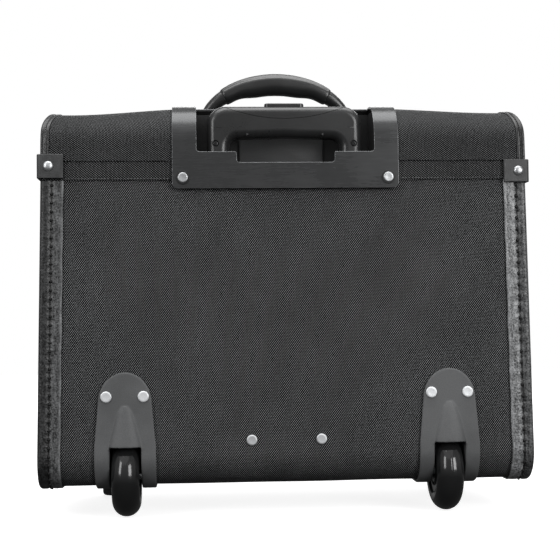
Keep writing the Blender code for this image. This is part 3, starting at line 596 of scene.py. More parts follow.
class Graph:
    """A material's nodes, added by short calls."""

    def __init__(self, name: str) -> None:
        """Starts a material that holds a Principled shader.

        Args:
            name: The material's name.
        """
        self.made = bpy.data.materials.new(name)
        self.made.use_nodes = True
        self.tree = self.made.node_tree
        self.shader = self.tree.nodes["Principled BSDF"]

    def node(self, kind: str, **settings: object) -> bpy.types.Node:
        """Adds a node with its settings.

        Args:
            kind: Its type, without the usual prefix.
            settings: Its settings, by name.

        Returns:
            The node.
        """
        made = self.tree.nodes.new("ShaderNode" + kind)
        for key, value in settings.items():
            setattr(made, key, value)
        return made

    def put(self, socket: Socket, value: object) -> None:
        """Links a socket to another one, or sets its value.

        Args:
            socket: The input.
            value: A socket or a plain value.
        """
        if isinstance(value, Socket):
            self.tree.links.new(value, socket)
        else:
            socket.default_value = value

    def math(self, operation: str, a: object, b: object = 0.0, c: object = 0.0) -> Socket:
        """The result of a math node.

        Args:
            operation: The node's operation.
            a: The first value.
            b: The second value.
            c: The third value.

        Returns:
            The result.
        """
        made = self.node("Math", operation=operation)
        for socket, value in zip(made.inputs, (a, b, c)):
            self.put(socket, value)
        return made.outputs[0]

    def remap(self, value: Socket, low: float, high: float, to_low: float = 0, to_high: float = 1) -> Socket:
        """A value carried smoothly from one range to another.

        Args:
            value: The value.
            low: The range's start.
            high: The range's end.
            to_low: What the start becomes.
            to_high: What the end becomes.

        Returns:
            The new value.
        """
        made = self.node("MapRange", interpolation_type="SMOOTHSTEP")
        for key, number in zip(("Value", "From Min", "From Max", "To Min", "To Max"),
                               (value, low, high, to_low, to_high)):
            self.put(made.inputs[key], number)
        return made.outputs["Result"]

    def blend(self, share: object, a: object, b: object, kind: str = "MIX") -> Socket:
        """Two colours mixed by a share.

        Args:
            share: How much of the second one.
            a: The first colour.
            b: The second colour.
            kind: The way they are mixed.

        Returns:
            The mixed colour.
        """
        made = self.node("Mix", data_type="RGBA", blend_type=kind)
        self.put(made.inputs["Factor"], share)
        for key, value in (("A", a), ("B", b)):
            socket = next(s for s in made.inputs if s.name == key and s.type == "RGBA")
            self.put(socket, value if isinstance(value, Socket) else (*value, 1))
        return next(s for s in made.outputs if s.type == "RGBA")

    def noise(self, where: Socket, scale: float, detail: float = 3, stretch: Sequence[float] = (1, 1, 1),
              rough: float = 0.55) -> Socket:
        """Smooth noise, its scale in waves a metre, drawn out where the stretch is below one.

        Args:
            where: The coordinates.
            scale: The waves in a metre.
            detail: The number of finer layers.
            stretch: The scale along each axis.
            rough: How much the finer layers count.

        Returns:
            The noise, from 0 to 1.
        """
        mapping = self.node("Mapping")
        self.put(mapping.inputs["Vector"], where)
        mapping.inputs["Scale"].default_value = stretch
        made = self.node("TexNoise")
        self.put(made.inputs["Vector"], mapping.outputs[0])
        made.inputs["Scale"].default_value = scale
        made.inputs["Detail"].default_value = detail
        made.inputs["Roughness"].default_value = rough
        return made.outputs["Fac"]

    def cells(self, where: Socket, scale: float) -> Socket:
        """The distance to the nearest of scattered points.

        Args:
            where: The coordinates.
            scale: The points in a metre.

        Returns:
            The distance.
        """
        made = self.node("TexVoronoi")
        self.put(made.inputs["Vector"], where)
        made.inputs["Scale"].default_value = scale
        return made.outputs["Distance"]

    def place(self) -> Socket:
        """The piece's own coordinates, in metres."""
        return self.node("TexCoord").outputs["Object"]

    def bump(self, height: Socket, distance: float, strength: float = 1.0) -> None:
        """Links a height in metres to the shader's normal.

        Args:
            height: The height, from 0 to 1.
            distance: How many metres one stands for.
            strength: How much of it shows.
        """
        made = self.node("Bump")
        made.inputs["Distance"].default_value = distance
        made.inputs["Strength"].default_value = strength
        self.put(made.inputs["Height"], height)
        self.put(self.shader.inputs["Normal"], made.outputs["Normal"])

    def set(self, **values: object) -> None:
        """Sets or links the shader's sockets, named with underscores for spaces."""
        for key, value in values.items():
            self.put(self.shader.inputs[key.replace("_", " ").title().replace("Ior", "IOR")], value)


MADE: dict[str, bpy.types.Material] = {}


class Finish:
    """A material that is made once, when it is first asked for."""

    name: str
    slot: str

    def material(self) -> bpy.types.Material:
        """The finished material.

        Returns:
            The material, the same one each time.
        """
        if self.name not in MADE:
            graph = Graph(self.name)
            self.fill(graph)
            MADE[self.name] = graph.made
        return MADE[self.name]

    def fill(self, graph: Graph) -> None:
        """Adds the nodes."""
        raise NotImplementedError


def grey(value: float, tint: float = 0.0) -> tuple[float, float, float]:
    """A grey, a little bluer with the tint."""
    return (value * (1 - tint), value, value * (1 + tint))


@dataclass(frozen=True)
class Weave(Finish):
    """Coarse plain-woven nylon, its yarns drawn in the cloth's own map."""

    name: str
    slot: str
    yarns: tuple[float, float] = (508, 380)
    # light and dark are the painted colours of the lit yarn crowns and of the shaded gaps between them.
    light: float = 0.345
    dark: float = 0.0010
    depth: float = 0.00010
    ribs: float = 0.0
    roughness: float = 0.62

    def fill(self, graph: Graph) -> None:
        """Yarns that pass over and under in a slanting basket weave, their crowns painted bright as highlights and
        the gaps painted dark as shade, with slubs, a faint mottle and faint streaks of painted crease shade.

        Args:
            graph: The material's nodes.
        """
        where = graph.node("UVMap", uv_map=CLOTH_MAP).outputs[0]
        split = graph.node("SeparateXYZ")
        graph.put(split.inputs[0], where)
        wander = graph.math("MULTIPLY", graph.math("SUBTRACT", graph.noise(where, 30, 2), 0.5), 3.0)
        warp = graph.math("MULTIPLY", split.outputs[0], 2 * math.pi * self.yarns[0])
        weft = graph.math("MULTIPLY", split.outputs[1], 2 * math.pi * self.yarns[1])
        weft = graph.math("ADD", graph.math("MULTIPLY", warp, -0.035), graph.math("ADD", weft, wander))
        rising = graph.math("SINE", graph.math("ADD", warp, weft))
        falling = graph.math("SINE", graph.math("SUBTRACT", warp, weft))
        over = graph.math("ADD", graph.math("MULTIPLY", rising, 0.68), graph.math("MULTIPLY", falling, 0.32))
        threads = graph.noise(where, 700, 1, (1, 0.06, 1))
        # The weave's own pattern, with the over-yarns painted bright as highlights on their crowns and the gaps
        # painted near black as shade.
        painted_crown_light = graph.remap(graph.math("ADD", over, graph.math("MULTIPLY", threads, 0.15)), 0.28, 1.02)
        colour = graph.blend(painted_crown_light, grey(self.dark, 0.02), grey(self.light, 0.02))
        mottle = graph.remap(graph.noise(where, 14, 4), 0.3, 0.7, 0.88, 1.08)
        # Faint darker streaks drawn out along the cloth: painted shade of its shallow creases.
        crease_shade = graph.remap(graph.noise(where, 26, 3, (1, 0.10, 1)), 0.35, 0.7, 0.94, 1.04)
        tone = graph.math("MULTIPLY", mottle, crease_shade)
        height = graph.math("ADD", over, graph.math("MULTIPLY", threads, 0.2))
        if self.ribs:
            rib = graph.math("SINE", graph.math("MULTIPLY", split.outputs[0], 2 * math.pi / self.ribs))
            # The ribs are painted darker in their hollows, painted shade, as well as raised by the bump.
            tone = graph.math("MULTIPLY", tone, graph.remap(rib, -1, 1, 0.86, 1.06))
            height = graph.math("ADD", height, rib)
        combine = graph.node("CombineColor")
        for socket in combine.inputs:
            graph.put(socket, tone)
        graph.set(base_color=graph.blend(1.0, colour, combine.outputs[0], "MULTIPLY"),
                  roughness=self.roughness, specular_ior_level=0.10)
        graph.bump(height, self.depth)


@dataclass(frozen=True)
class Leather(Finish):
    """Embossed leather-look binding, scuffed pale where it stands proud, with painted glints on the lid tapes and a
    painted sheen and groove shade on the bindings.
    """

    name: str
    slot: str
    dark: float = 0.020
    light: float = 0.105
    grain: float = 620
    roughness: float = 0.40
    depth: float = 0.00022
    scuff: float = 0.35

    def fill(self, graph: Graph) -> None:
        """Pebbled grain, diagonal scratches, paler edges that are partly worn and partly painted glints, and painted
        sheen and shade.

        Args:
            graph: The material's nodes.
        """
        where = graph.place()
        pebbles = graph.cells(where, self.grain)
        fine = graph.noise(where, self.grain * 1.6, 4)
        scratch = graph.noise(where, 260, 5, (1, 1, 0.22), 0.7)
        patches = graph.noise(where, 70, 3)
        tone = graph.math("ADD", graph.math("MULTIPLY", fine, 0.55), graph.math("MULTIPLY", scratch, 0.55))
        share = graph.remap(tone, 0.42, 0.72)
        # The first attribute pales worn edges and the lid tapes' painted glints; the second is the bindings' painted
        # sheen and shade, used as a factor on the tone.
        wear = graph.node("Attribute", attribute_name=WEAR_AND_GLINT).outputs["Fac"]
        band = graph.node("Attribute", attribute_name=PAINTED_SHEEN).outputs["Fac"]
        edge = graph.math("MULTIPLY", wear, graph.remap(patches, 0.3, 0.7, self.scuff * 0.6, self.scuff))
        colour = graph.blend(share, grey(self.dark, 0.02), grey(self.light, 0.02))
        colour = graph.blend(edge, colour, grey(0.20, 0.02))
        tone_and_painted_sheen = graph.math("MULTIPLY", graph.remap(patches, 0.25, 0.75, 0.75, 1.15),
                              graph.math("ADD", graph.math("MULTIPLY", band, 2.4), 1.0))
        combine = graph.node("CombineColor")
        for socket in combine.inputs:
            graph.put(socket, tone_and_painted_sheen)
        graph.set(base_color=graph.blend(1.0, colour, combine.outputs[0], "MULTIPLY"),
                  roughness=graph.remap(fine, 0.3, 0.7, self.roughness - 0.08, self.roughness + 0.12),
                  specular_ior_level=0.5)
        graph.bump(graph.math("ADD", pebbles, graph.math("MULTIPLY", scratch, 0.8)), self.depth)


@dataclass(frozen=True)
class Solid(Finish):
    """Plastic, paint or bare metal: a base with grain, mottle and uneven gloss."""

    name: str
    slot: str
    tone: float
    roughness: float
    metallic: float = 0.0
    mottle: float = 0.12
    grain: float = 900
    depth: float = 0.00003
    stretch: tuple[float, float, float] = (1, 1, 1)
    specular: float = 0.5
    coat: float = 0.0
    tint: float = 0.02

    def fill(self, graph: Graph) -> None:
        """Fine grain over slow changes of tone and gloss.

        Args:
            graph: The material's nodes.
        """
        where = graph.place()
        slow = graph.noise(where, 24, 4)
        fine = graph.noise(where, self.grain, 3, self.stretch)
        low, high = 1 - self.mottle, 1 + self.mottle
        tone = graph.math("MULTIPLY", graph.remap(slow, 0.3, 0.7, low, high),
                          graph.remap(fine, 0.3, 0.7, low, high))
        combine = graph.node("CombineColor")
        for socket in combine.inputs:
            graph.put(socket, tone)
        gloss = graph.math("ADD", graph.remap(slow, 0.3, 0.7, -0.04, 0.05),
                           graph.remap(fine, 0.3, 0.7, self.roughness * 0.92, self.roughness * 1.1))
        graph.set(base_color=graph.blend(1.0, grey(self.tone, self.tint), combine.outputs[0], "MULTIPLY"),
                  roughness=gloss, metallic=self.metallic, specular_ior_level=self.specular,
                  coat_weight=self.coat, coat_roughness=0.12)
        graph.bump(fine, self.depth)


NYLON = Weave("ballistic_nylon", "nylon_shell")
# The lid's nylon, turned, with its lighter yarns painted darker than the shell's: painted shade against the overhead
# light.
SHADED_LID_NYLON = Weave("ballistic_nylon_turned", "nylon_shell", yarns=(375, 515), light=0.215)
HEM_WEB = Weave("hem_webbing", "webbing", yarns=(400, 470), light=0.230, dark=0.001, ribs=0.0040)
LINING = Weave("lining_cloth", "lining", yarns=(900, 900), light=0.075, dark=0.030, depth=0.00012)
BINDING_HIDE = Leather("binding_hide", "leather_binding", dark=0.006, light=0.075, grain=420)
# A lighter copy of the binding leather for the right binding alone: painted light, not a different hide.
LIT_BINDING_HIDE = Leather("binding_hide_sheen", "leather_binding", dark=0.030, light=0.230, grain=420, roughness=0.32,
                      scuff=0.5)
TAPE_HIDE = Leather("tape_hide", "leather_binding", dark=0.003, light=0.016, grain=1100, depth=0.00010,
                    roughness=0.32, scuff=0.3)
TAB_HIDE = Leather("tab_hide", "leather_binding", dark=0.013, light=0.028, grain=900, depth=0.00008,
                   roughness=0.48, scuff=0.25)
THREAD = Solid("stitch_thread", "leather_binding", 0.004, 0.7, grain=2500, depth=0.0001)
PALE_THREAD = Solid("pale_thread", "webbing", 0.14, 0.6, grain=2500, depth=0.0001)
BLACK_STEEL = Solid("enamelled_steel", "painted_steel", 0.068, 0.27, metallic=0.55, mottle=0.04, depth=0.0000008,
                    stretch=(0.08, 1, 1))
# Lighter steel on the bezel's bevelled edges: partly worn bare, partly a painted highlight of the edges catching the
# light.
WORN_AND_HIGHLIT_EDGE = Solid("worn_steel_edge", "painted_steel", 0.22, 0.30, metallic=0.8, mottle=0.18)
NICKEL = Solid("nickel_rivet", "rivet_steel", 0.62, 0.38, metallic=0.9, mottle=0.06, grain=1400, depth=0.00004)
WHITE_NICKEL = Solid("white_nickel_rivet", "rivet_steel", 0.93, 0.45, metallic=0.45, mottle=0.04, grain=1400,
                     depth=0.00003)
# A lighter copy of the nickel for the base rivets, which stand low and get less light: painted light.
LIGHTER_NICKEL = Solid("satin_nickel_rivet", "rivet_steel", 0.80, 0.42, metallic=0.75, mottle=0.05, grain=1400,
                     depth=0.00003)
PLATED = Solid("plated_steel", "plated_steel", 0.55, 0.28, metallic=1.0, mottle=0.05)
CHROME = Solid("latch_chrome", "latch_chrome", 0.82, 0.24, metallic=0.9, mottle=0.03, depth=0.000006)
TUBE_ALLOY = Solid("tube_alloy", "aluminium_tube", 0.42, 0.30, metallic=1.0, mottle=0.08,
                   stretch=(1, 1, 0.02), grain=2600, depth=0.00001)
GLOSS_BLACK = Solid("grip_gloss", "gloss_plastic", 0.020, 0.30, mottle=0.10, depth=0.000006, specular=0.6)
HANDLE_BLACK = Solid("handle_soft_touch", "handle_plastic", 0.012, 0.32, mottle=0.15, grain=1800, depth=0.00003,
                     specular=0.75)
BLACK_PLASTIC = Solid("tray_plastic", "black_plastic", 0.012, 0.45, mottle=0.15, grain=1500, depth=0.00005)
GREY_PLASTIC = Solid("housing_plastic", "grey_plastic", 0.116, 0.55, mottle=0.13, grain=1300, depth=0.00006,
                     specular=0.35)
TYRE_BLACK = Solid("tyre_urethane", "tyre", 0.013, 0.14, mottle=0.10, grain=700, depth=0.000008, coat=0.3)
SCREW_BLACK = Solid("blackened_screw", "black_screw", 0.030, 0.35, metallic=0.6)
RUBBER = Solid("foot_rubber", "black_plastic", 0.020, 0.65, grain=1600, depth=0.00008)
TRAY_PLASTIC = Solid("tray_rib_plastic", "black_plastic", 0.045, 0.5)
PIP_PLASTIC = Solid("pip_plastic", "gloss_plastic", 0.05, 0.3)


def dress(piece: Piece, finish: Finish, body: str | tuple[str, str], replaces: Sequence[str] = (),
          inner: Finish | None = None, rim: Finish | None = None) -> Piece:
    """Gives a piece its finish and its body.

    Args:
        piece: The finished mesh.
        finish: The finish of its outside.
        body: The CAD body it rides on, or the pair on either side of the lid's hinge, in which case it is baked in
            place and not attached to either.
        replaces: The CAD nodes it stands for.
        inner: The finish of its lined side.
        rim: The finish of its bevelled edges, partly worn and partly a painted highlight.

    Returns:
        The same piece.
    """
    extra = inner or rim
    slots = [finish.material()] + ([extra.material()] if extra else [])
    while len(piece.data.materials) < len(slots):
        piece.data.materials.append(None)
    for n, made in enumerate(slots):
        piece.data.materials[n] = made
    if isinstance(body, tuple):
        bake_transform(piece)
    else:
        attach(piece, body)
    if replaces:
        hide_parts(*replaces)
    faces = len(piece.data.polygons)
    LOG.info("%s: %d faces, %s, on %s", piece.name, faces, finish.name, body)
    return piece


def store(piece: Piece, name: str, values: Floats) -> None:
    """Stores a value at every point of a piece."""
    layer = piece.data.attributes.new(name, "FLOAT", "POINT")
    layer.data.foreach_set("value", values.astype(np.float32))


def mark_wear(piece: Piece, rule: Callable[[Floats], Floats]) -> None:
    """Stores how worn each point is, by a rule of the points' places."""
    store(piece, WEAR_AND_GLINT, rule(np.array([v.co for v in piece.data.vertices])))


# ---------------------------------------------------------------- shell


def shell_path(outer: float, rear_top: float, front_top: float) -> Path:
    """The shell's U, down the rear wall, under the bottom and up the front, at a distance outside.

    Args:
        outer: The distance outside the wall.
        rear_top: Where it starts at the rear.
        front_top: Where it ends at the front.

    Returns:
        The path.
    """
    middle_z, middle_y = WALL_BOTTOM + WALL_BEND, WALL_Y - WALL_BEND
    radius, face = WALL_BEND + outer, WALL_Y + outer
    points = [(-face, rear_top)] + arc((-middle_y, middle_z), radius, 180, 270, 20)
    points += arc((middle_y, middle_z), radius, 270, 360, 20) + [(face, front_top)]
    return Path(tuple(points), 1)


@dataclass(frozen=True)
class Shell:
    """The nylon-covered box: the wrap, the two side panels, their bindings and the lining."""

    wall: float = 0.0035
    wheel_gap: float = 0.0176
    wheel_front: float = -0.0426
    wheel_top: float = 0.0814
    hem_z: float = 0.311
    strip_z: float = 0.3288

    def build(self) -> None:
        """Makes every piece of the shell."""
        self.wrap()
        for side in Side:
            self.side_panel(side)
            Binding(side).build()
        self.hem()
        self.lining_board()
        self.feet()

    def wrap(self) -> None:
        """The long panel that runs down the rear, under the bottom and up the front."""
        path = shell_path(0, WALL_TOP, WALL_TOP)
        flat = WALL_TOP - WALL_BOTTOM - WALL_BEND
        bend = WALL_BEND * math.pi / 2
        bottom = 2 * (WALL_Y - WALL_BEND)
        edges = np.cumsum([0, flat, bend, bottom, bend, flat])
        steps = (0.006, 0.003, 0.010, 0.003, 0.008)
        along = walk([(a, min(b, path.length), step) for a, b, step in zip(edges, edges[1:], steps)])
        dents = [middle_of(f"base_rivet_{side.tag}") for side in Side]

        def place(x: Floats, s: Floats) -> tuple[Floats, Floats]:
            """Lays the wrap, dented round its base rivets.

            Args:
                x: The places across it.
                s: The lengths along it.

            Returns:
                The points and their outward normals.
            """
            y, z, ny, nz = path.at(s)
            dip = 0.00025 * (1 + np.sin(x * 43 + s * 31) * np.sin(s * 27 - x * 11))
            for dent_x, _, dent_z in dents:
                far = np.hypot(x - dent_x, z - dent_z)
                dip = dip + np.where(s < flat, 0.0010 * np.exp(-(far / 0.0085) ** 2), 0)
            wide = lean(x, z)
            points = np.stack([wide, y - ny * dip, z - nz * dip], 1)
            return points, np.stack([0 * x, ny, nz], 1)

        wrap = laid_grid("nylon_wrap", np.linspace(-SHELL_X, SHELL_X, 79), along, place)
        thicken(wrap, self.wall, lining=True)
        carve(wrap, window_block())
        for side in Side:
            x = side.value * WHEEL_X
            carve(wrap, block("gap", (x - self.wheel_gap, -0.120, 0.020),
                              (x + self.wheel_gap, self.wheel_front, self.wheel_top)))
        dress(shade(wrap, 50), NYLON, "case", ["wrap_panel"], inner=LINING)

    def side_panel(self, side: Side) -> None:
        """One flat side, drawn in at its top under the lid and a little full in its middle.

        Args:
            side: The side.
        """
        inner = WALL_Y - self.wall - GAP
        bend = WALL_BEND - self.wall - GAP
        low_y, low_z = WALL_Y - WALL_BEND, WALL_BOTTOM + WALL_BEND
        radius = LID_BEND - 0.0025 - GAP
        lid_y, lid_z = LID_Y - LID_BEND, LID_TOP - LID_BEND
        step = WALL_TOP + GAP
        outline = arc((-low_y, low_z), bend, 180, 270, 10) + arc((low_y, low_z), bend, 270, 360, 10)
        outline += [(inner, step), (lid_y + radius, step)] + arc((lid_y, lid_z), radius, 0, 90, 14)
        outline += arc((-lid_y, lid_z), radius, 90, 180, 14)
        outline += [(-lid_y - radius, step), (-inner, step)]
        clear_selection()
        bpy.ops.mesh.primitive_circle_add(vertices=len(outline), radius=1, fill_type="NGON")
        panel = named(f"side_cloth_{side.tag}")
        for vertex, (y, z) in zip(panel.data.vertices, outline):
            vertex.co = (0, y, z)
        with editing(panel):
            for z in np.concatenate([np.linspace(0.05, 0.35, 13), [0.358, 0.363, 0.367, 0.371, 0.375]]):
                bpy.ops.mesh.select_all(action="SELECT")
                bpy.ops.mesh.bisect(plane_co=(0, 0, z), plane_no=(0, 0, 1))
            for y in np.linspace(-0.09, 0.09, 10):
                bpy.ops.mesh.select_all(action="SELECT")
                bpy.ops.mesh.bisect(plane_co=(0, y, 0), plane_no=(0, 1, 0))
        mesh = panel.data
        drop = float(sag(np.array([side.value * 0.22]))[0])
        layer = mesh.uv_layers.active or mesh.uv_layers.new(name=CLOTH_MAP)
        layer.name = CLOTH_MAP
        for loop in mesh.loops:
            layer.data[loop.index].uv = mesh.vertices[loop.vertex_index].co.yz
        for vertex in mesh.vertices:
            _, y, z = vertex.co
            full = max(0, 1 - (y / 0.105) ** 2) * max(0, 1 - ((z - 0.2) / 0.17) ** 2) ** 0.5
            reach = float(lean(SHELL_X, z) - round_in(z)) + 0.0010 * full
            fall = drop * float(smoothstep(z, lid_z, LID_TOP - 0.004))
            vertex.co = (side.value * reach, y, z - fall)
        mesh.update()
        if sum(face.normal.x for face in mesh.polygons) * side.value < 0:
            with editing(panel):
                bpy.ops.mesh.flip_normals()
        thicken(panel, self.wall, lining=True)
        dress(shade(panel, 40), NYLON, "case", [f"side_panel_{side.tag}"], inner=LINING)

    def hem(self) -> None:
        """The webbing along the lid strip's lower edge, with a row of stitches."""
        low, high = self.hem_z, self.strip_z - GAP

        def place(x: Floats, s: Floats) -> tuple[Floats, Floats]:
            """Lays the webbing, full in its middle.

            Args:
                x: The places across it.
                s: The heights above its lower edge.

            Returns:
                The points and their outward normals.
            """
            z = low + s
            full = np.sin(np.clip(s / (high - low), 0, 1) * math.pi) ** 0.5
            y = -(WALL_Y + 0.0012 + 0.0005 * full + 0.00012 * np.sin(x * 2 * math.pi / 0.0125))
            points = np.stack([lean(x, z), y, z], 1)
            return points, np.stack([0 * x, -1 + 0 * x, 0 * x], 1)

        hem = laid_grid("hem_webbing_strip", np.linspace(-0.2295, 0.2295, 149),
                        np.linspace(0, high - low, 13), place)
        thicken(hem, 0.0009)
        carve(hem, window_block())
        dress(shade(hem), HEM_WEB, "case", ["rear_hem_tape"])
        places = []
        for n in range(136):
            x = -0.2025 + 0.003 * n
            if abs(x) > 0.108:
                middle = Vector((x, -WALL_Y - 0.00155, low + 0.0016))
                places.append(frame_at(middle, Vector((1, 0, 0.15)), Vector((0, -1, 0))))
        rows = thread_stitches("hem_stitches", places, 0.0020, 0.0006)
        dress(rows, PALE_THREAD, "case")

    def lining_board(self) -> None:
        """The lined board that hides the trolley's tubes from the main compartment."""
        reach = SHELL_X - self.wall - 0.0016

        def place(x: Floats, z: Floats) -> tuple[Floats, Floats]:
            """Lays the board inside the side panels and under the lid.

            Args:
                x: The places across it.
                z: The heights.

            Returns:
                The points and their outward normals.
            """
            top = smoothstep(z, 0.347, 0.3785)
            wide = lean(x, z) - np.sign(x) * round_in(z) * (np.abs(x) / reach) ** 4
            points = np.stack([wide, -0.0615 + 0 * x, z - sag(x) * top - 0.0006 * top], 1)
            return points, np.stack([0 * x, 1 + 0 * x, 0 * x], 1)

        heights = np.concatenate([np.linspace(0.0335, 0.345, 20), np.linspace(0.352, 0.3785, 6)])
        board = laid_grid("lined_divider", np.linspace(-reach, reach, 47), heights, place)
        thicken(board, 0.002)
        for side in Side:
            x = side.value * WHEEL_X
            gap = self.wheel_gap + 0.0002
            carve(board, block("gap", (x - gap, -0.070, 0.020), (x + gap, -0.055, self.wheel_top + 0.0002)))
        dress(shade(board), LINING, "case", ["rear_lining_board"])

    def feet(self) -> None:
        """The two front feet, stepped near their tops and recessed underneath."""
        profile = [(0, 0.0282), (0.0130, 0.0282), (0.0130, 0.0240), (0.0124, 0.0232), (0.0124, 0.0190),
                   (0.0121, 0.0180), (0.0116, 0.0030), (0.0108, 0.0008), (0.0095, 0.0000),
                   (0.0062, 0.0000), (0.0056, 0.0006), (0.0052, 0.0060), (0.0030, 0.0062),
                   (0.0028, 0.0048), (0, 0.0046)]
        for side in Side:
            x, y, _ = middle_of(f"front_foot_{side.tag}")
            foot = turned(f"rubber_foot_{side.tag}", profile, (x, y, 0), (0, 0, 1))
            dress(shade(foot), RUBBER, "case", [f"front_foot_{side.tag}"])


@dataclass(frozen=True)
class Binding:
    """The leather-look binding sewn over one U-shaped edge of the shell."""

    side: Side
    width: float = 0.0213
    proud: float = 0.0018
    corner: float = 0.0034
    flange: float = 0.0135
    sheet: float = 0.0010
    thread_depth: float = 0.0006

    @property
    def groove(self) -> float:
        """How far in from the side the sewn groove runs."""
        return 0.0104 if self.side is Side.LEFT else 0.0094

    @property
    def pitch(self) -> float:
        """The length of one stitch and its gap."""
        return 0.0080 if self.side is Side.LEFT else 0.0104

    def section(self) -> Floats:
        """The binding's skin across its width, as (inset from the side, depth below its crown).

        Returns:
            The rows of the skin.
        """
        w, g, r = self.width, self.groove, self.corner
        rows = [(w, self.proud - 0.0002), (w + 0.0001, 0.0009), (w - 0.0003, 0.0004), (w - 0.0010, 0.00022)]
        rows += [(w - 0.0018, 0.00040), (w - 0.0030, 0.00034), ((w + g) / 2, 0.00010)]
        rows += [(g + 0.0026, 0.00028), (g + 0.0013, 0.00070), (g + 0.0005, 0.00120), (g, 0.00135)]
        rows += [(g - 0.0005, 0.00120), (g - 0.0013, 0.00065), (g - 0.0028, 0.00022), ((g + r) / 2, 0.00005)]
        rows += [(r + 0.0005, 0.0)] + [(r - r * math.sin(t), r - r * math.cos(t))
                                       for t in np.radians([18, 36, 54, 72, 90])]
        rows += [(0, 0.0060), (0, 0.0100), (0, self.flange - 0.0012), (0.0004, self.flange - 0.0002),
                 (0.0013, self.flange)]
        return np.array(rows)

    def build(self) -> None:
        """Makes the binding and its stitches."""
        path = shell_path(GAP + self.proud, 0.3107, 0.2794)
        section = self.section()
        sign = self.side.value
        pull = 0.00080 if self.side is Side.RIGHT else 0.00035

        def place(n: Floats, s: Floats) -> tuple[Floats, Floats]:
            """Lays the skin along the shell, pulled in by its stitches.

            Args:
                n: The rows of the section.
                s: The lengths along the shell.

            Returns:
                The points and their outward normals.
            """
            inset, depth = section[n.astype(int)].T
            near = np.exp(-((inset - self.groove) / 0.0042) ** 2) * (depth < 0.0013)
            tight = np.cos(s * math.pi / self.pitch) ** 8
            uneven = 1 + 0.35 * np.sin(s * 91) * np.sin(s * 37)
            depth = depth + pull * near * tight * uneven
            inset = inset + 0.00025 * np.sin(s * 140 + 1) * (inset > self.width - 0.003)
            y, z, ny, nz = path.at(s)
            y, z = y - ny * depth, z - nz * depth
            x = sign * (lean(HALF_WIDTH, z) - inset)
            return np.stack([x, y, z], 1), np.stack([0.6 * sign + 0 * x, ny, nz], 1)

        along = walk([(0, path.length, self.pitch / 6)])
        piece = laid_grid(f"binding_{self.side.tag}", np.arange(len(section), dtype=float), along, place,
                          cloth=False)
        # The inner edge's rows are paled: partly wear, partly a painted highlight along the raised lip.
        worn = np.zeros(len(section))
        worn[2:5] = (0.7, 1.0, 0.4)
        store(piece, WEAR_AND_GLINT, np.tile(worn, len(along)))
        # Painted sheen and shade by rows: the inner band lighter, the outer band a little darker, the sewn groove
        # much darker.
        sheen = 0.32 if self.side is Side.RIGHT else 0.64
        painted_sheen_rows = np.where(section[:, 0] > self.groove + 0.001, sheen, -0.12) * (section[:, 1] < 0.0008)
        painted_sheen_rows = np.where(np.abs(section[:, 0] - self.groove) < 0.001, -0.36, painted_sheen_rows)
        store(piece, PAINTED_SHEEN, np.tile(painted_sheen_rows, len(along)))
        thicken(piece, self.sheet)
        # The right binding takes the lighter copy of the leather: painted light.
        hide = BINDING_HIDE if self.side is Side.LEFT else LIT_BINDING_HIDE
        dress(shade(piece, 60), hide, "case", [f"edge_binding_{self.side.tag}"])
        places = []
        for n in range(int(path.length / self.pitch)):
            s = np.array([(n + 0.5) * self.pitch, (n + 0.5) * self.pitch + 0.001])
            y, z, ny, nz = path.at(s)
            inset = self.groove + 0.0005
            ends = [Vector((sign * (float(lean(HALF_WIDTH, z[i])) - inset), y[i] - ny[i] * self.thread_depth,
                            z[i] - nz[i] * self.thread_depth)) for i in (0, 1)]
            places.append(frame_at(ends[0], ends[1] - ends[0], Vector((0, ny[0], nz[0]))))
        thread = thread_stitches(f"binding_stitches_{self.side.tag}", places, self.pitch * 0.36, 0.0028)
        dress(thread, THREAD, "case")


# ---------------------------------------------------------------- lid


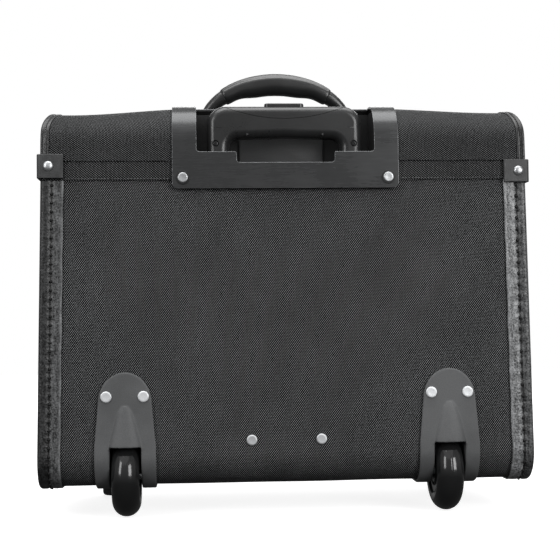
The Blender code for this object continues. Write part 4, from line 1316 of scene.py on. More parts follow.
@dataclass(frozen=True)
class Lid:
    """The nylon lid: one cloth from the fixed rear strip, over its hinge, to the front flap."""

    strip_z: float = 0.3288
    flap_z: float = 0.280
    skin: float = 0.0025
    tape: float = 0.0078

    @property
    def path(self) -> Path:
        """The lid's outer line in (y, z), from the strip's lower edge to the flap's.

        Returns:
            The path.
        """
        y, z = LID_Y - LID_BEND, LID_TOP - LID_BEND
        points = [(-LID_Y, self.strip_z)] + arc((-y, z), LID_BEND, 180, 90, 24)
        points += arc((y, z), LID_BEND, 90, 0, 24) + [(LID_Y, self.flap_z)]
        return Path(tuple(points), -1)

    @property
    def stops(self) -> Floats:
        """Lengths along the path, close together in the bends and at the hinge.

        Returns:
            The lengths.
        """
        rise = LID_TOP - LID_BEND - self.strip_z
        bend = LID_BEND * math.pi / 2
        top = rise + bend
        hinge = top + (HINGE_Y + LID_Y - LID_BEND)
        far = top + 2 * (LID_Y - LID_BEND)
        return walk([(0, rise, 0.006), (rise, top, 0.003), (top, hinge - 0.009, 0.003),
                     (hinge - 0.009, hinge + 0.009, 0.0012), (hinge + 0.009, far, 0.007),
                     (far, far + bend, 0.003), (far + bend, self.path.length, 0.007)])

    def place(self, x: Floats, s: Floats, lift: Floats, inset: Floats | None = None) -> tuple[Floats, Floats]:
        """Where points lie on the lid.

        Args:
            x: The share of the lid's half width, from -1 to 1.
            s: The length along the path.
            lift: The distance outside the cloth.
            inset: The distance in from the lid's end, if x only gives the side.

        Returns:
            The points and their outward normals.
        """
        y, z, ny, nz = self.path.at(s)
        half = lean(HALF_WIDTH - 0.0006, z) - round_in(z)
        wide = x * half if inset is None else np.sign(x) * (half + 0.0005 - inset)
        top = smoothstep(z, LID_TOP - LID_BEND, LID_TOP)
        points = np.stack([wide, y + ny * lift, z + nz * lift - sag(wide) * top], 1)
        return points, np.stack([0 * x, ny, nz], 1)

    def build(self) -> None:
        """Makes the cloth, its edge tapes and the flap's facing."""
        def cloth(x: Floats, s: Floats) -> tuple[Floats, Floats]:
            """Lays the cloth, a little uneven."""
            swell = 0.0004 * np.sin(x * 9 + s * 21) * np.sin(s * 33 - x * 4)
            return self.place(x / HALF_WIDTH, s, np.minimum(swell, 0.0002))

        columns = np.linspace(-HALF_WIDTH, HALF_WIDTH, 67)
        lid = laid_grid("lid_cloth", columns, self.stops, cloth)
        thicken(lid, self.skin, lining=True)
        carve(lid, window_block())
        # The lid's cloth takes the shaded copy of the nylon: painted shade.
        dress(shade(lid, 50), SHADED_LID_NYLON, LID_BODIES, ["lid_panel", "lid_rear_strip"], inner=LINING)
        for side in Side:
            self.edge_tape(side)
        self.flap_facing()

    def edge_tape(self, side: Side) -> None:
        """The folded tape over one end of the lid, sewn down its middle.

        Args:
            side: The end.
        """
        w = self.tape
        rows = [(w, 0.0001), (w - 0.0002, 0.0007), (w - 0.0010, 0.0010), (w * 0.72, 0.0011)]
        rows += [(w * 0.60, 0.0009), (w * 0.52, 0.0005), (w * 0.44, 0.0009), (w * 0.32, 0.0012)]
        rows += [(0.0016, 0.0013), (0.0007, 0.0011), (0.0001, 0.0005), (-0.0001, -0.0004)]
        rows += [(0.0, -0.0024), (0.0004, -0.0032), (0.0014, -0.0034)]
        section = np.array(rows)
        # Painted glints: the tape's folded edges are painted paler, through the wear attribute.
        painted_glints = np.array([0, 0.2, 0.3, 0.1, 0, 0, 0, 0.1, 0.3, 0.4, 0.3, 0.1, 0, 0, 0])
        pitch = 0.0031

        def skin(n: Floats, s: Floats) -> tuple[Floats, Floats]:
            """Lays the tape over the end, pulled in by its stitches.

            Args:
                n: The rows of the section.
                s: The lengths along the lid.

            Returns:
                The points and their outward normals.
            """
            inset, lift = section[n.astype(int)].T
            near = np.exp(-((inset - w * 0.52) / 0.0015) ** 2) * (lift > 0)
            lift = lift - 0.0002 * near * np.cos(s * math.pi / pitch) ** 4
            points, normals = self.place(np.full_like(s, float(side.value)), s, lift, inset)
            normals[:, 0] = 0.6 * side.value
            return points, normals

        along = walk([(0, self.path.length, 0.0016)])
        tape = laid_grid(f"lid_tape_{side.tag}", np.arange(len(section), dtype=float), along, skin, cloth=False)
        store(tape, WEAR_AND_GLINT, np.tile(painted_glints, len(along)))
        thicken(tape, 0.0006)
        dress(shade(tape, 60), TAPE_HIDE, LID_BODIES)
        places = []
        for n in range(int(self.path.length / pitch)):
            s = np.array([(n + 0.5) * pitch, (n + 0.5) * pitch + 0.001])
            points, normals = self.place(np.full(2, float(side.value)), s, np.full(2, 0.00062),
                                         np.full(2, w * 0.52))
            a, b = Vector(points[0]), Vector(points[1])
            places.append(frame_at(a, b - a, Vector(normals[0])))
        rows_of = thread_stitches(f"lid_tape_stitches_{side.tag}", places, pitch * 0.62, 0.0007)
        dress(rows_of, PALE_THREAD if side is Side.LEFT else THREAD, LID_BODIES)

    def flap_facing(self) -> None:
        """The webbing folded over the flap's lower edge at the front."""
        rows = np.array([(0.014, 0.0001), (0.0138, 0.0007), (0.0120, 0.0009), (0.0020, 0.0009), (0.0006, 0.0006),
                         (0.0, -0.0003), (0.0, -0.0022), (0.0006, -0.0032), (0.0020, -0.0036)])

        def skin(x: Floats, n: Floats) -> tuple[Floats, Floats]:
            """Lays the webbing round the flap's edge.

            Args:
                x: The places across it.
                n: The rows of the section.

            Returns:
                The points and their outward normals.
            """
            up, lift = rows[n.astype(int)].T
            s = self.path.length - up + 0.0004
            points, normals = self.place(x / HALF_WIDTH, s, lift)
            normals[:, 2] -= 0.5
            return points, normals

        edge = laid_grid("flap_webbing", np.linspace(-0.2215, 0.2215, 61), np.arange(float(len(rows))), skin)
        thicken(edge, 0.0006)
        dress(shade(edge, 60), HEM_WEB, "lid")


# ---------------------------------------------------------------- rear hardware


@dataclass(frozen=True)
class CornerTab:
    """A leather tab that wraps one upper rear corner."""

    side: Side
    thick: float = 0.0026

    def build(self) -> None:
        """Makes the tab from its plan, with round edges."""
        low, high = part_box(f"corner_tab_{self.side.tag}")
        back = low.y
        inner_x = min(abs(low.x), abs(high.x)) - 0.0003
        outer_x = max(abs(low.x), abs(high.x))
        deep, r = high.y, 0.0035
        plan = [(inner_x, back + self.thick), (inner_x, back)]
        plan += [(outer_x - r + r * math.sin(t), back + r - r * math.cos(t)) for t in np.radians(range(0, 91, 15))]
        skin, ease = self.thick, 0.0008
        plan += [(outer_x, deep), (outer_x - skin, deep)]
        plan += [(outer_x - skin, back + skin + ease), (outer_x - skin - ease, back + skin)]
        plan = [(self.side.value * x, y) for x, y in plan]
        tab = slab(f"leather_tab_{self.side.tag}", plan, "z", low.z, high.z)
        round_edges(tab, 0.0007, 3, 50)
        middle = (low.z + high.z) / 2
        reach = (high.z - low.z) / 2

        def worn(points: Floats) -> Floats:
            """How worn each point is: most at the upper and lower edge."""
            edge = np.abs(np.abs(points[:, 2] - middle) - reach) < 0.0008
            return edge * 0.8

        mark_wear(tab, worn)
        dress(shade(tab, 50, even=True), TAB_HIDE, "case", [f"corner_tab_{self.side.tag}"])


class Head(Enum):
    """The two shapes of a rivet's head, as (share of the radius, share of the height)."""

    DOMED = ((0, 1), (0.30, 0.97), (0.55, 0.86), (0.76, 0.66), (0.90, 0.40), (0.98, 0.12), (1, 0))
    FLAT = ((0, 0.86), (0.30, 0.88), (0.62, 0.97), (0.80, 1), (0.90, 0.90), (0.98, 0.52), (1, 0.15), (1, 0))


@dataclass(frozen=True)
class Rivet:
    """A nickel rivet that stands for one of the CAD's."""

    node: str
    head: Head
    radius: float
    height: float
    finish: Finish = NICKEL

    def build(self, body: str = "case") -> None:
        """Spins the head and its shank about the rivet's axis.

        Args:
            body: The body that it rides on.
        """
        low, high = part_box(self.node)
        x, _, z = middle_of(self.node)
        face = low.y + (0.0018 if self.head is Head.DOMED else 0.0010)
        profile = [(a * self.radius, b * self.height) for a, b in self.head.value]
        profile += [(0.0016, -0.0002), (0.0016, face - high.y), (0, face - high.y)]
        piece = turned(self.node.replace("rivet", "nickel_rivet"), profile, (x, face, z), (0, -1, 0), 32)
        dress(shade(piece, 50), self.finish, body, [self.node])


@dataclass(frozen=True)
class Bezel:
    """The enamelled steel plate bent over the upper rear edge, framing the trolley's well."""

    low_z: float = 0.303
    half: float = 0.105
    thick: float = 0.002
    window_half: float = 0.0825
    window_z: float = 0.337
    notch_half: float = 0.0455
    notch_z: float = 0.327
    window_front: float = -0.0665
    front: float = -0.0575

    def build(self) -> None:
        """Makes the plate, cuts its openings and gives its bevelled edges a lighter finish, partly worn bare and
        partly a painted highlight.
        """
        outer = LID_BEND + GAP + self.thick
        middle = (-(LID_Y - LID_BEND), LID_TOP - LID_BEND)
        inner = outer - self.thick
        back = -LID_Y - GAP
        outline = [(back, self.low_z), (back - self.thick, self.low_z)] + arc(middle, outer, 180, 90, 24)
        outline += [(self.front, LID_TOP + GAP + self.thick), (self.front, LID_TOP + GAP)]
        outline += arc(middle, inner, 90, 180, 24)
        plate = slab("enamelled_bezel", outline, "x", -self.half, self.half)
        r, edge, above = 0.0052, self.half + 0.001, 0.400
        shape = arc((self.half - r, self.low_z + r), r, 0, -90, 8)
        shape += arc((-self.half + r, self.low_z + r), r, -90, -180, 8)
        shape += [(-edge, self.low_z + r), (-edge, above), (edge, above), (edge, self.low_z + r)]
        carve(plate, slab("shape", shape, "y", -0.140, -0.030), "INTERSECT")
        r, notch_r, ease, top = 0.0028, 0.0030, 0.0010, 0.400
        window = arc((-self.window_half + r, self.window_z + r), r, 180, 270, 6)
        window += [(-self.notch_half - ease, self.window_z), (-self.notch_half, self.window_z - ease)]
        window += arc((-self.notch_half + notch_r, self.notch_z + notch_r), notch_r, 180, 270, 6)
        window += arc((self.notch_half - notch_r, self.notch_z + notch_r), notch_r, 270, 360, 6)
        window += [(self.notch_half, self.window_z - ease), (self.notch_half + ease, self.window_z)]
        window += arc((self.window_half - r, self.window_z + r), r, 270, 360, 6)
        window += [(self.window_half, top), (-self.window_half, top)]
        carve(plate, slab("opening", window, "y", -0.140, self.window_front))
        plate.data.materials.append(None)
        plate.data.materials.append(None)
        round_edges(plate, 0.00035, 2, 50, rim=1)
        dress(shade(plate, 50, even=True), BLACK_STEEL, "case", ["trolley_bezel"], rim=WORN_AND_HIGHLIT_EDGE)
        for side in Side:
            x, _, z = middle_of(f"bezel_rivet_{side.tag}")
            # A thin black ring round each bezel rivet, standing for the shade in the dimple it sits in: painted
            # shade.
            ring = [(0.0047, 0.0), (0.0047, 0.0004), (0.0054, 0.0006), (0.0062, 0.0004), (0.0065, 0.0)]
            seat = turned(f"rivet_seat_{side.tag}", ring, (x, back - self.thick - 0.00005, z), (0, -1, 0), 36)
            dress(shade(seat), BLACK_PLASTIC, "case")


@dataclass(frozen=True)
class Trolley:
    """The telescopic handle: tray, tubes, arched grip, its lens-shaped cover and its button."""

    y: float = -0.093
    depth: float = 0.023
    half: float = 0.0725
    leg: float = 0.0205
    top: float = 0.3815
    bottom: float = 0.3232
    bar: float = 0.351
    lens: float = 0.149
    dip: float = 0.3693
    tube_x: float = 0.062
    seam_x: float = 0.067
    screw_x: float = 0.0647
    screw_z: float = 0.346
    coil_wire: float = 0.0005
    coil_radius: float = 0.0036
    coil_turns: int = 4

    def outline(self) -> list[tuple[float, float]]:
        """The arch in (x, z).

        Returns:
            The corners of the outline.
        """
        inside, shoulder, corner = self.half - self.leg, 0.0175, 0.0085
        points = [(self.half, self.bottom)]
        points += arc((self.half - shoulder, self.top - shoulder), shoulder, 0, 90, 10)
        points += arc((shoulder - self.half, self.top - shoulder), shoulder, 90, 180, 10)
        points += [(-self.half, self.bottom), (-inside, self.bottom)]
        points += arc((corner - inside, self.bar - corner), corner, 180, 100, 6) + [(0, self.bar + 0.0012)]
        points += arc((inside - corner, self.bar - corner), corner, 80, 0, 6) + [(inside, self.bottom)]
        return points

    def blank(self, name: str) -> Piece:
        """The arch with its long edges well rounded."""
        piece = slab(name, self.outline(), "y", self.y - self.depth / 2, self.y + self.depth / 2)
        return round_edges(piece, 0.0094, 7, 60)

    def disc(self, radius: float) -> Piece:
        """The cylinder that parts the cover from the grip.

        Args:
            radius: Its radius.

        Returns:
            The cutter.
        """
        outline = arc((0, self.dip + self.lens), radius, 230, 310, 90)
        outline += [(0.12, self.dip + self.lens), (-0.12, self.dip + self.lens)]
        return slab("disc", outline, "y", self.y - 0.03, self.y + 0.03)

    def build(self) -> None:
        """Makes the grip's pieces, and dresses the tray and the tubes."""
        grip = carve(self.blank("grip_arch"), self.disc(self.lens + 0.00018))
        cover = carve(self.blank("grip_cover"), self.disc(self.lens - 0.00018), "INTERSECT")
        for piece in (grip, cover):
            carve(piece, slab("pocket", rounded(0.0376, 0.0136, 0.0042, (0, self.y)), "z", 0.356, 0.395))
            round_edges(piece, 0.00035, 2, 40)
        rear = self.y - self.depth / 2
        for side in Side:
            x = side.value * self.tube_x
            carve(grip, slab("socket", rounded(0.0182, 0.0107, 0.0024, (x, self.y)), "z", 0.310, 0.353))
            x = side.value * self.screw_x
            seat = [(0, -0.002), (0.0030, -0.002), (0.0033, 0.0004), (0.0036, 0.002), (0, 0.002)]
            carve(grip, turned("seat", seat, (x, rear, self.screw_z), (0, -1, 0), 24))
            x = side.value * self.seam_x
            carve(grip, block("groove", (x - 0.0085, rear - 0.001, 0.36060), (x + 0.0085, rear + 0.0004, 0.36105)))
            self.screw(side, rear)
        dress(shade(grip, 32, even=True), GLOSS_BLACK, "trolley_stage_2", ["trolley_grip"])
        dress(shade(cover, 32, even=True), GLOSS_BLACK, "trolley_stage_2", ["grip_top_cover"])
        self.button()
        self.tray_rib()
        self.marks(rear)
        self.coil()
        looks = {"trolley_well": BLACK_PLASTIC, "tube_foot_block": BLACK_PLASTIC, "mouth_frame": PLATED}
        looks |= {f"{kind}_tube_{side.tag}": TUBE_ALLOY for kind in ("outer", "middle", "inner") for side in Side}
        dress_nodes(looks)

    def coil(self) -> None:
        """The spring under the button, coiled to fill the CAD spring's box."""
        low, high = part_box("button_spring")
        wire, turns = self.coil_wire, self.coil_turns
        clear_selection()
        bpy.ops.mesh.primitive_circle_add(vertices=10, radius=wire, location=(self.coil_radius, 0, 0),
                                          rotation=(math.pi / 2, 0, 0))
        spring = named("button_coil")
        bpy.ops.object.transform_apply(location=True, rotation=True, scale=True)
        spring.location = (0, self.y, low[2] + wire)
        tall = high[2] - low[2] - 2 * wire
        apply_step(spring, "SCREW", angle=2 * math.pi, iterations=turns, screw_offset=tall / turns, steps=16,
                   render_steps=16, use_merge_vertices=True, merge_threshold=MERGE)
        with editing(spring, "EDGE"):
            bpy.ops.mesh.fill_holes(sides=0)
        settle(spring)
        dress(shade(spring), PLATED, "trolley_stage_2", ["button_spring"])
        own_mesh(spring)

    def screw(self, side: Side, rear: float) -> None:
        """One blackened cross-head screw, sunk in the grip.

        Args:
            side: The leg that it holds.
            rear: The grip's rear face.
        """
        profile = [(0, 0.0010), (0.0013, 0.0010), (0.0022, 0.0007), (0.0026, 0.0), (0.0015, -0.0002),
                   (0.0015, -0.0075), (0, -0.0075)]
        centre = (side.value * self.screw_x, rear + 0.0019, self.screw_z)
        piece = turned(f"cross_screw_{side.tag}", profile, centre, (0, -1, 0), 28)
        for wide, tall in ((0.0020, 0.0005), (0.0005, 0.0020)):
            low = (centre[0] - wide / 2 - 0.0003, centre[1] - 0.0020, centre[2] - tall / 2 - 0.0003)
            high = (centre[0] + wide / 2 + 0.0003, centre[1] - 0.0004, centre[2] + tall / 2 + 0.0003)
            carve(piece, block("slot", low, high))
        dress(shade(piece), SCREW_BLACK, "trolley_stage_2", [f"grip_screw_{side.tag}"])

    def button(self) -> None:
        """The push button, a rounded block that stands a little out of its pocket."""
        piece = slab("release_button", rounded(0.0370, 0.0130, 0.0038, (0, self.y)), "z", 0.3665, 0.3845)
        round_edges(piece, 0.0012, 4, 60)
        dress(shade(piece, 40, even=True), HANDLE_BLACK, "trolley_button", ["push_button"])

    def tray_rib(self) -> None:
        """The raised plate on the tray's front wall, seen through the grip."""
        plate = slab("tray_rib", rounded(0.0810, 0.0420, 0.0040, (-0.0012, 0.3450)), "y", -0.0690, -0.0662)
        round_edges(plate, 0.0012, 3, 60)
        dress(shade(plate), TRAY_PLASTIC, "case")

    def marks(self, rear: float) -> None:
        """Two moulded arrow-shaped pips under the grip's bar.

        Args:
            rear: The grip's rear face.
        """
        for side in Side:
            x = side.value * 0.036
            tip = x + side.value * -0.0022
            arrow = [(x, 0.3532), (tip, 0.3544), (x, 0.3556)]
            pip = slab(f"grip_pip_{side.tag}", arrow, "y", rear - 0.0002, rear + 0.001)
            round_edges(pip, 0.0002, 2, 50)
            dress(shade(pip), PIP_PLASTIC, "trolley_stage_2")


def dress_nodes(looks: dict[str, Finish]) -> None:
    """Gives CAD nodes that are shown as they are their finished materials.

    Args:
        looks: The finish of each node.
    """
    for name, finish in looks.items():
        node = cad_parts[name]
        if not node.data.materials:
            node.data.materials.append(None)
        for slot in node.material_slots:
            slot.material = finish.material()
        LOG.info("%s: CAD node, %s", name, finish.name)


# ---------------------------------------------------------------- carry handle


@dataclass(frozen=True)
class CarryHandle:
    """The moulded arch on the lid, with its two end sockets and its brackets."""

    y: float = 0.025
    base_z: float = 0.3785
    pivot_z: float = 0.3905
    outer: tuple[float, float] = (0.0815, 0.0575)
    inner: tuple[float, float] = (0.0660, 0.0350)
    square: float = 2.55
    deep: float = 0.0110
    foot: float = 0.0058
    seam: float = 43.5
    waves: float = 6.5
    roundness: float = 0.86

    def edge(self, angle: float, inner: bool) -> tuple[float, float]:
        """A point (x, z) of the arch's outer or inner line.

        Args:
            angle: The angle about the arch's middle.
            inner: Whether it lies on the inner line.

        Returns:
            The point.
        """
        a, b = self.inner if inner else self.outer
        power = 2 / self.square if inner else 1
        cosine = math.cos(angle)
        return (math.copysign(a * abs(cosine) ** power, cosine), self.base_z + b * math.sin(angle) ** power)

    def ring(self, outer: tuple[float, float], inner: tuple[float, float], grow: float, ridge: float,
             sides: int = 40) -> Floats:
        """One section of the arch between its lines.

        Args:
            outer: The section's outer point (x, z).
            inner: Its inner point.
            grow: The distance that it stands out.
            ridge: The depth of the two lines that edge the top strip.
            sides: The points round it.

        Returns:
            The points.
        """
        a, b = np.array([outer[0], self.y, outer[1]]), np.array([inner[0], self.y, inner[1]])
        middle, across = (a + b) / 2, (a - b) / 2
        size = np.linalg.norm(across)
        rise = np.clip((middle[2] - self.pivot_z) / 0.026, 0, 1)
        deep = self.foot + (self.deep - self.foot) * math.sin(rise * math.pi / 2)
        if middle[2] < self.pivot_z:
            deep = math.sqrt(max(self.foot ** 2 - (self.pivot_z - middle[2]) ** 2, 0.0012 ** 2))
        turns = 2 * math.pi * (np.arange(sides) + 0.5) / sides
        cosine, sine = np.cos(turns), np.sin(turns)
        power = self.roundness
        reach = grow - ridge * np.exp(-((np.abs(np.angle(np.exp(1j * turns))) - 0.86) / 0.11) ** 2)
        radial = np.sign(cosine) * np.abs(cosine) ** power * (size + reach)
        side = np.sign(sine) * np.abs(sine) ** power * (deep + reach)
        return middle + np.outer(radial, across / size) + np.outer(side, [0, 1, 0])

    def build(self) -> None:
        """Makes the core with its feet, the sleeve over it, and the brackets."""
        low = self.pivot_z - self.foot + 0.0004
        feet = []
        for z in np.linspace(low, self.pivot_z, 6):
            feet.append(((self.outer[0] - 0.0012, float(z)), (self.inner[0] + 0.0010, float(z))))
        degrees = [14, 18, 23, 28, 34, 40, 47, 55, 64, 74, 82, 90]
        rise = [(self.edge(math.radians(t), False), self.edge(math.radians(t), True)) for t in degrees]
        right = feet + rise
        left = [((-a[0], a[1]), (-b[0], b[1])) for a, b in right[:-1]]
        core = lofted("handle_core", np.array([self.ring(a, b, -0.0006, 0) for a, b in left + right[::-1]]))
        for side in Side:
            carve(core, rod("bore", 0.0029, 0.02, (side.value * 0.0735, self.y, self.pivot_z), 20))
        dress(shade(core, 40), HANDLE_BLACK, "handle", ["carry_handle"])
        self.sleeve()
        for side in Side:
            self.bracket(side)

    def sleeve(self) -> None:
        """The moulded sleeve between its two seams, with a strip along its top and waves under the fingers."""
        degrees = np.linspace(self.seam, 180 - self.seam, 89)
        rings = []
        for n, t in enumerate(degrees):
            angle = math.radians(float(t))
            wave = 0.00055 * math.cos((t - 90) / 90 * math.pi * self.waves)
            ends = min(n, len(degrees) - 1 - n)
            grow = (-0.0014, -0.0005, 0.0001, 0.0003)[min(ends, 3)]
            outer, inner = self.edge(angle, False), self.edge(angle, True)
            toward = np.array([outer[0] - inner[0], outer[1] - inner[1]])
            toward /= np.linalg.norm(toward)
            moved = (inner[0] + toward[0] * wave, inner[1] + toward[1] * wave)
            rings.append(self.ring(outer, moved, grow, 0.00055 if ends > 3 else 0, 56))
        sleeve = lofted("handle_sleeve", np.array(rings))
        dress(shade(sleeve, 60), HANDLE_BLACK, "handle")

    def bracket(self, side: Side) -> None:
        """One saddle on the lid: plate, ear, pin and the pin's head.

        Args:
            side: The side that it holds.
        """
        sign = side.value
        low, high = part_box(f"handle_bracket_{side.tag}")
        base_z = low.z
        plan = rounded(high.x - low.x, high.y - low.y, 0.003, ((low.x + high.x) / 2, self.y))
        plate = slab(f"handle_saddle_{side.tag}", plan, "z", base_z, base_z + 0.0019)
        outer = max(abs(low.x), abs(high.x))
        ear_x = sorted((sign * (outer - 0.0066), sign * outer))
        ear = arc((self.y, self.pivot_z), 0.0062, 0, 180, 12) + [(self.y - 0.0085, base_z), (self.y + 0.0085, base_z)]
        carve(plate, slab("ear", ear, "x", *ear_x), "UNION")
        pin = [(0, 0), (0.0026, 0), (0.0026, 0.0165), (0, 0.0165)]
        carve(plate, turned("pin", pin, (sign * 0.0685, self.y, self.pivot_z), (sign, 0, 0), 20), "UNION")
        head = [(0, 0.0012), (0.0020, 0.0010), (0.0030, 0.0), (0, 0)]
        carve(plate, turned("head", head, (sign * (outer - 0.0002), self.y, self.pivot_z), (sign, 0, 0), 20), "UNION")
        round_edges(plate, 0.0004, 2, 50)
        dress(shade(plate), PLATED, "lid", [f"handle_bracket_{side.tag}"])


# ---------------------------------------------------------------- wheels


@dataclass(frozen=True)
class Wheel:
    """One inline wheel in its moulded housing."""

    side: Side
    radius: float = 0.0375
    axle_y: float = -0.0842
    tread: float = 0.01325
    slot: float = 0.0145
    cheek: float = 0.0027
    plate: float = 0.0027
    arch_top: float = 0.135

    @property
    def x(self) -> float:
        """The middle of the wheel."""
        return self.side.value * WHEEL_X

    def build(self) -> None:
        """Makes the housing, the tyre, the hub and the axle's ends."""
        self.housing()
        self.tyre()
        self.hub()
        dress_nodes({f"axle_{self.side.tag}": PLATED, f"wheel_bearings_{self.side.tag}": PLATED})

    def housing(self) -> None:
        """The arched plate with its hood and inner well, run together as one moulding."""
        x = self.x
        low_z, low_y = WALL_BOTTOM + WALL_BEND, WALL_BEND - WALL_Y
        inner = WALL_BEND + GAP
        outer = inner + self.plate
        rear, front = low_y - outer, -0.043
        band = [(rear, 0.140)] + arc((low_y, low_z), outer, 180, 270, 16)
        band += [(front, low_z - outer), (front, low_z - inner)]
        band += arc((low_y, low_z), inner, 270, 180, 16) + [(low_y - inner, 0.140)]
        piece = slab(f"wheel_fairing_{self.side.tag}", band, "x", x - 0.031, x + 0.031)
        arch = [(x - 0.0275, 0.020), (x + 0.0275, 0.020), (x + 0.0284, 0.050), (x + 0.0282, 0.066)]
        arch += [(x + 0.0246 * math.cos(t), 0.1065 + (self.arch_top - 0.1065) * math.sin(t))
                 for t in np.radians(range(0, 181, 9))]
        arch += [(x - 0.0282, 0.066), (x - 0.0284, 0.050)]
        carve(piece, slab("arch", arch, "y", -0.150, 0), "INTERSECT")
        reach = self.slot + self.cheek
        fit = inner + 0.0012
        room = [(front, low_z - fit), (front, 0.081), (-WALL_Y + 0.002, 0.081), (low_y - fit, 0.080)]
        room += arc((low_y, low_z), fit, 180, 270, 12)
        carve(piece, slab("room", room, "x", x - reach, x + reach), "UNION")
        hood = turned("hood", [(0, 0.0645), (0.0152, 0.0645), (0.0141, 0.070), (0.0118, 0.080), (0.0093, 0.090),
                               (0.0066, 0.0985), (0.0038, 0.1035), (0, 0.1045)], (0, 0, 0), (0, 0, 1), 40)
        hood.scale = (1, 0.47, 1)
        hood.location = (x, -0.1122, 0)
        settle(hood)
        carve(hood, block("back", (x - 0.03, -0.1118, 0.05), (x + 0.03, -0.09, 0.12)))
        carve(piece, hood, "UNION")
        carve(piece, block("slot", (x - self.slot, -0.1100, 0.010), (x + self.slot, front - self.cheek, 0.0783)))
        carve(piece, block("opening", (x - self.slot, -0.150, 0.010), (x + self.slot, -0.105, 0.0664)))
        apply_step(piece, "REMESH", mode="VOXEL", voxel_size=0.00075)
        apply_step(piece, "SMOOTH", factor=0.5, iterations=5)
        carve(piece, rod("bore", 0.0042, 0.020, (x, self.axle_y, self.radius)))
        dress(shade(piece, 60), GREY_PLASTIC, "case", [f"wheel_housing_{self.side.tag}"])

    def tyre(self) -> None:
        """The round urethane tyre, with a fine parting line round its middle."""
        ring, crown, line = self.radius - self.tread, self.radius - 0.00002, 0.00045
        angles = np.radians(np.linspace(76, -76, 29))
        profile = [(ring + self.tread * math.cos(t), self.tread * math.sin(t)) for t in angles]
        middle = len(profile) // 2
        profile[middle] = (self.radius - 0.00018, 0.0)
        profile[middle - 1: middle - 1] = [(crown, line)]
        profile[middle + 2: middle + 2] = [(crown, -line)]
        profile = sorted(profile, key=lambda p: -p[1])
        profile += [(0.0215, -0.0118), (0.0208, -0.0108), (0.0150, -0.0106), (0.0150, 0.0106),
                    (0.0208, 0.0108), (0.0215, 0.0118)]
        piece = turned(f"urethane_tyre_{self.side.tag}", profile, (self.x, self.axle_y, self.radius), (1, 0, 0), 72)
        dress(shade(piece, 45), TYRE_BLACK, f"wheel_{self.side.tag}", [f"tyre_{self.side.tag}"])

    def hub(self) -> None:
        """The hub: a dished disc with a rim round the bearing."""
        profile = [(0.0147, 0.0112), (0.0147, -0.0112), (0.0138, -0.0114), (0.0132, -0.0092), (0.0124, -0.0086)]
        profile += [(0.0118, -0.0112), (0.0112, -0.0112), (0.0112, -0.0040), (0.0085, -0.0040)]
        profile += [(r, -h) for r, h in profile[::-1]]
        piece = turned(f"wheel_hub_{self.side.tag}", profile, (self.x, self.axle_y, self.radius), (1, 0, 0), 48)
        dress(shade(piece), BLACK_PLASTIC, f"wheel_{self.side.tag}", [f"hub_{self.side.tag}"])


# ---------------------------------------------------------------- latches


@dataclass(frozen=True)
class Latch:
    """One chromed front latch: base, sliding button, hinge plate and hasp."""

    side: Side
    offset: float = 0.135
    pivot_y: float = 0.1172
    pivot_z: float = 0.296

    @property
    def x(self) -> float:
        """The latch's middle."""
        return self.side.value * self.offset

    @property
    def pivot(self) -> tuple[float, float, float]:
        """The middle of the hasp's hinge."""
        return (self.x, self.pivot_y, self.pivot_z)

    def build(self) -> None:
        """Makes the four pieces of the latch."""
        tag, sign, x = self.side.tag, self.side.value, self.x
        face = WALL_Y + GAP
        base = slab(f"latch_plate_{tag}", rounded(0.042, 0.040, 0.005, (x, 0.258)), "y", face, face + 0.007)
        round_edges(base, 0.0016, 4, 60)
        carve(base, block("pocket", (x - 0.0065, face + 0.0022, 0.2545), (x + 0.0065, face + 0.010, 0.2650)))
        run = sorted((x - sign * 0.0075, x + sign * 0.0135))
        carve(base, block("slot", (run[0], face + 0.0042, 0.2407), (run[1], face + 0.010, 0.2493)))
        round_edges(base, 0.0003, 2, 60)
        dress(shade(base, even=True), CHROME, "case", [f"latch_base_{tag}"])
        button = slab(f"latch_thumb_{tag}", rounded(0.014, 0.0080, 0.0015, (x, 0.2450)), "y", face + 0.0046, 0.1217)
        round_edges(button, 0.0008, 3, 60)
        dress(shade(button), CHROME, f"release_{tag}", [f"latch_button_{tag}"])
        flap = LID_Y + GAP
        plate = slab(f"latch_hinge_{tag}", rounded(0.036, 0.020, 0.003, (x, 0.302)), "y", flap, flap + 0.0012)
        carve(plate, block("web", (x - 0.0060, flap + 0.0005, 0.2945), (x + 0.0060, self.pivot_y, 0.2975)), "UNION")
        carve(plate, rod("knuckle", 0.0024, 0.006, self.pivot), "UNION")
        carve(plate, rod("pin", 0.0011, 0.015, self.pivot, 16), "UNION")
        dome = [(0, 0.0010), (0.0014, 0.0008), (0.0022, 0.0), (0, -0.0002)]
        for step in (-0.012, 0.012):
            carve(plate, turned("dome", dome, (x + step, flap + 0.0011, 0.306), (0, 1, 0), 20), "UNION")
        round_edges(plate, 0.0002, 2, 60)
        dress(shade(plate), CHROME, "lid", [f"hasp_hinge_{tag}"])
        self.hasp()

    def hasp(self) -> None:
        """The folding hasp, with its tongue, arms and barrels."""
        tag, x = self.side.tag, self.x
        y0, y1 = 0.1178, 0.1196
        hasp = slab(f"latch_strap_{tag}", rounded(0.030, 0.0402, 0.004, (x, 0.2721)), "y", y0, y1)
        round_edges(hasp, 0.0007, 3, 60)
        carve(hasp, block("tongue", (x - 0.005, 0.1135, 0.2580), (x + 0.005, y1 - 0.0005, 0.2620)), "UNION")
        for end in (-1, 1):
            middle = x + end * 0.0108
            arm = block("arm", (middle - 0.0042, y0, 0.2900), (middle + 0.0042, y1 - 0.0003, self.pivot_z))
            carve(hasp, arm, "UNION")
            carve(hasp, rod("barrel", 0.0024, 0.0042, (middle, self.pivot_y, self.pivot_z)), "UNION")
        carve(hasp, rod("bore", 0.0015, 0.02, self.pivot, 16))
        round_edges(hasp, 0.0002, 2, 60)
        dress(shade(hasp, even=True), CHROME, f"hasp_{tag}", [f"latch_hasp_{tag}"])


# ---------------------------------------------------------------- studio


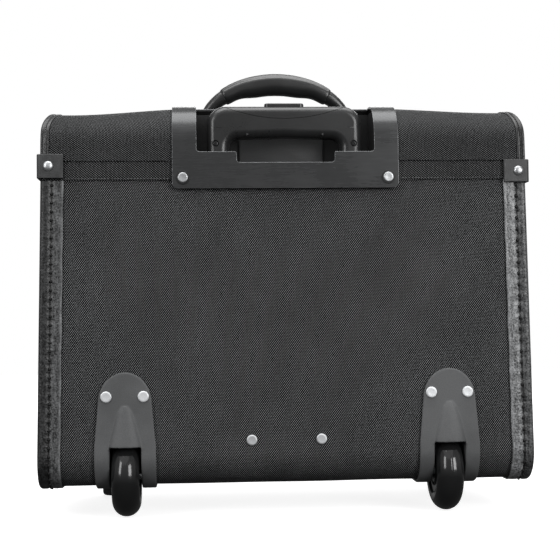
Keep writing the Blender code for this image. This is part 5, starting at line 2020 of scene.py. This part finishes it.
@dataclass(frozen=True)
class Studio:
    """A plain pale floor, soft lights and the camera."""

    eye: tuple[float, float, float] = (-0.082, -1.250, 0.1837)
    yaw: float = 3.792
    pitch: float = 1.727
    roll: float = -0.658
    lens: float = 79.4

    def build(self) -> None:
        """Sets the stage."""
        self.floor()
        self.world()
        self.soft_light("overhead", (0.05, -0.15, 1.75), (0, 0, 0.2), (1.9, 1.0), 24)
        self.soft_light("right_front", (1.15, -1.65, 0.75), (0.1, 0, 0.25), (0.8, 1.1), 19)
        self.soft_light("left_front", (-1.35, -1.35, 0.85), (-0.1, 0, 0.2), (0.5, 1.1), 10)
        self.soft_light("behind", (0.3, 1.9, 0.9), (0, 0, 0.2), (1.8, 1.2), 18)
        sun = bpy.data.lights.new("fill", "SUN")
        sun.energy = 0.45
        sun.angle = math.radians(70)
        lamp = bpy.data.objects.new("fill", sun)
        bpy.context.scene.collection.objects.link(lamp)
        lamp.rotation_euler = (math.radians(18), math.radians(-8), 0)
        self.camera()
        bpy.context.scene.view_settings.view_transform = "Standard"

    def floor(self) -> None:
        """A wide pale floor just under the wheels."""
        clear_selection()
        bpy.ops.mesh.primitive_circle_add(vertices=96, radius=3, fill_type="NGON", location=(0, 0, -0.0004))
        floor = named("studio_floor")
        graph = Graph("studio_floor")
        slow = graph.noise(graph.place(), 0.8, 2)
        graph.set(base_color=graph.blend(slow, (0.60, 0.60, 0.605), (0.62, 0.62, 0.62)), roughness=0.9,
                  specular_ior_level=0.1, emission_color=(1, 1, 1, 1), emission_strength=0.85)
        floor.data.materials.append(graph.made)
        floor.visible_diffuse = False
        floor.visible_glossy = False

    def world(self) -> None:
        """Light from all round, dimmer from below the horizon, and a white ground behind the floor."""
        world = bpy.data.worlds.new("studio")
        bpy.context.scene.world = world
        world.use_nodes = True
        tree = world.node_tree
        light = tree.nodes["Background"]
        where = tree.nodes.new("ShaderNodeTexCoord")
        split = tree.nodes.new("ShaderNodeSeparateXYZ")
        rise = tree.nodes.new("ShaderNodeMapRange")
        for key, value in zip(("From Min", "From Max", "To Min", "To Max"), (-0.25, 0.25, 0.05, 0.34)):
            rise.inputs[key].default_value = value
        tree.links.new(where.outputs["Generated"], split.inputs[0])
        tree.links.new(split.outputs[2], rise.inputs["Value"])
        tree.links.new(rise.outputs["Result"], light.inputs["Strength"])
        ground = tree.nodes.new("ShaderNodeBackground")
        ground.inputs["Strength"].default_value = 1.0
        for shine in (light, ground):
            shine.inputs["Color"].default_value = (1, 1, 1, 1)
        seen = tree.nodes.new("ShaderNodeLightPath")
        mix = tree.nodes.new("ShaderNodeMixShader")
        tree.links.new(seen.outputs["Is Camera Ray"], mix.inputs[0])
        tree.links.new(light.outputs[0], mix.inputs[1])
        tree.links.new(ground.outputs[0], mix.inputs[2])
        tree.links.new(mix.outputs[0], tree.nodes["World Output"].inputs["Surface"])

    def soft_light(self, name: str, place: Sequence[float], target: Sequence[float],
                   size: tuple[float, float], power: float) -> None:
        """One rectangular softbox, aimed at a target.

        Args:
            name: The light's name.
            place: Where it stands.
            target: What it is aimed at.
            size: Its width and height.
            power: Its power, in watts.
        """
        data = bpy.data.lights.new(name, "AREA")
        data.shape = "RECTANGLE"
        data.size, data.size_y = size
        data.energy = power
        lamp = bpy.data.objects.new(name, data)
        bpy.context.scene.collection.objects.link(lamp)
        lamp.location = place
        lamp.rotation_euler = (Vector(target) - Vector(place)).to_track_quat("-Z", "Y").to_euler()

    def camera(self) -> None:
        """The camera, level with the case's middle and a little to its left."""
        yaw, pitch, roll = (math.radians(t) for t in (self.yaw, self.pitch, self.roll))
        forward = Vector((math.sin(yaw) * math.cos(pitch), math.cos(yaw) * math.cos(pitch), math.sin(pitch)))
        level = Vector((math.cos(yaw), -math.sin(yaw), 0))
        rise = level.cross(forward)
        right = level * math.cos(roll) + rise * math.sin(roll)
        up = rise * math.cos(roll) - level * math.sin(roll)
        data = bpy.data.cameras.new("camera")
        data.lens = self.lens
        data.clip_end = 60
        made = bpy.data.objects.new("camera", data)
        bpy.context.scene.collection.objects.link(made)
        made.matrix_world = Matrix.Translation(self.eye) @ Matrix((right, up, -forward)).transposed().to_4x4()
        bpy.context.scene.camera = made


def main() -> None:
    """Builds the studio, and then the case piece by piece."""
    logging.basicConfig(level=logging.INFO, format="%(name)s %(message)s", force=True)
    Studio().build()
    Shell().build()
    Lid().build()
    for side in Side:
        CornerTab(side).build()
        Rivet(f"tab_rivet_{side.tag}", Head.DOMED, 0.0046, 0.0020).build()
        Rivet(f"bezel_rivet_{side.tag}", Head.FLAT, 0.0048, 0.0013).build()
        # The base rivets take the lighter copy of the nickel: painted light.
        Rivet(f"base_rivet_{side.tag}", Head.FLAT, 0.0050, 0.0013, LIGHTER_NICKEL).build()
        for number in (1, 2):
            Rivet(f"wheel_rivet_{side.tag}_{number}", Head.FLAT, 0.0052, 0.0012, WHITE_NICKEL).build()
        Wheel(side).build()
        Latch(side).build()
    Bezel().build()
    Trolley().build()
    CarryHandle().build()


if __name__ == "__main__":
    main()
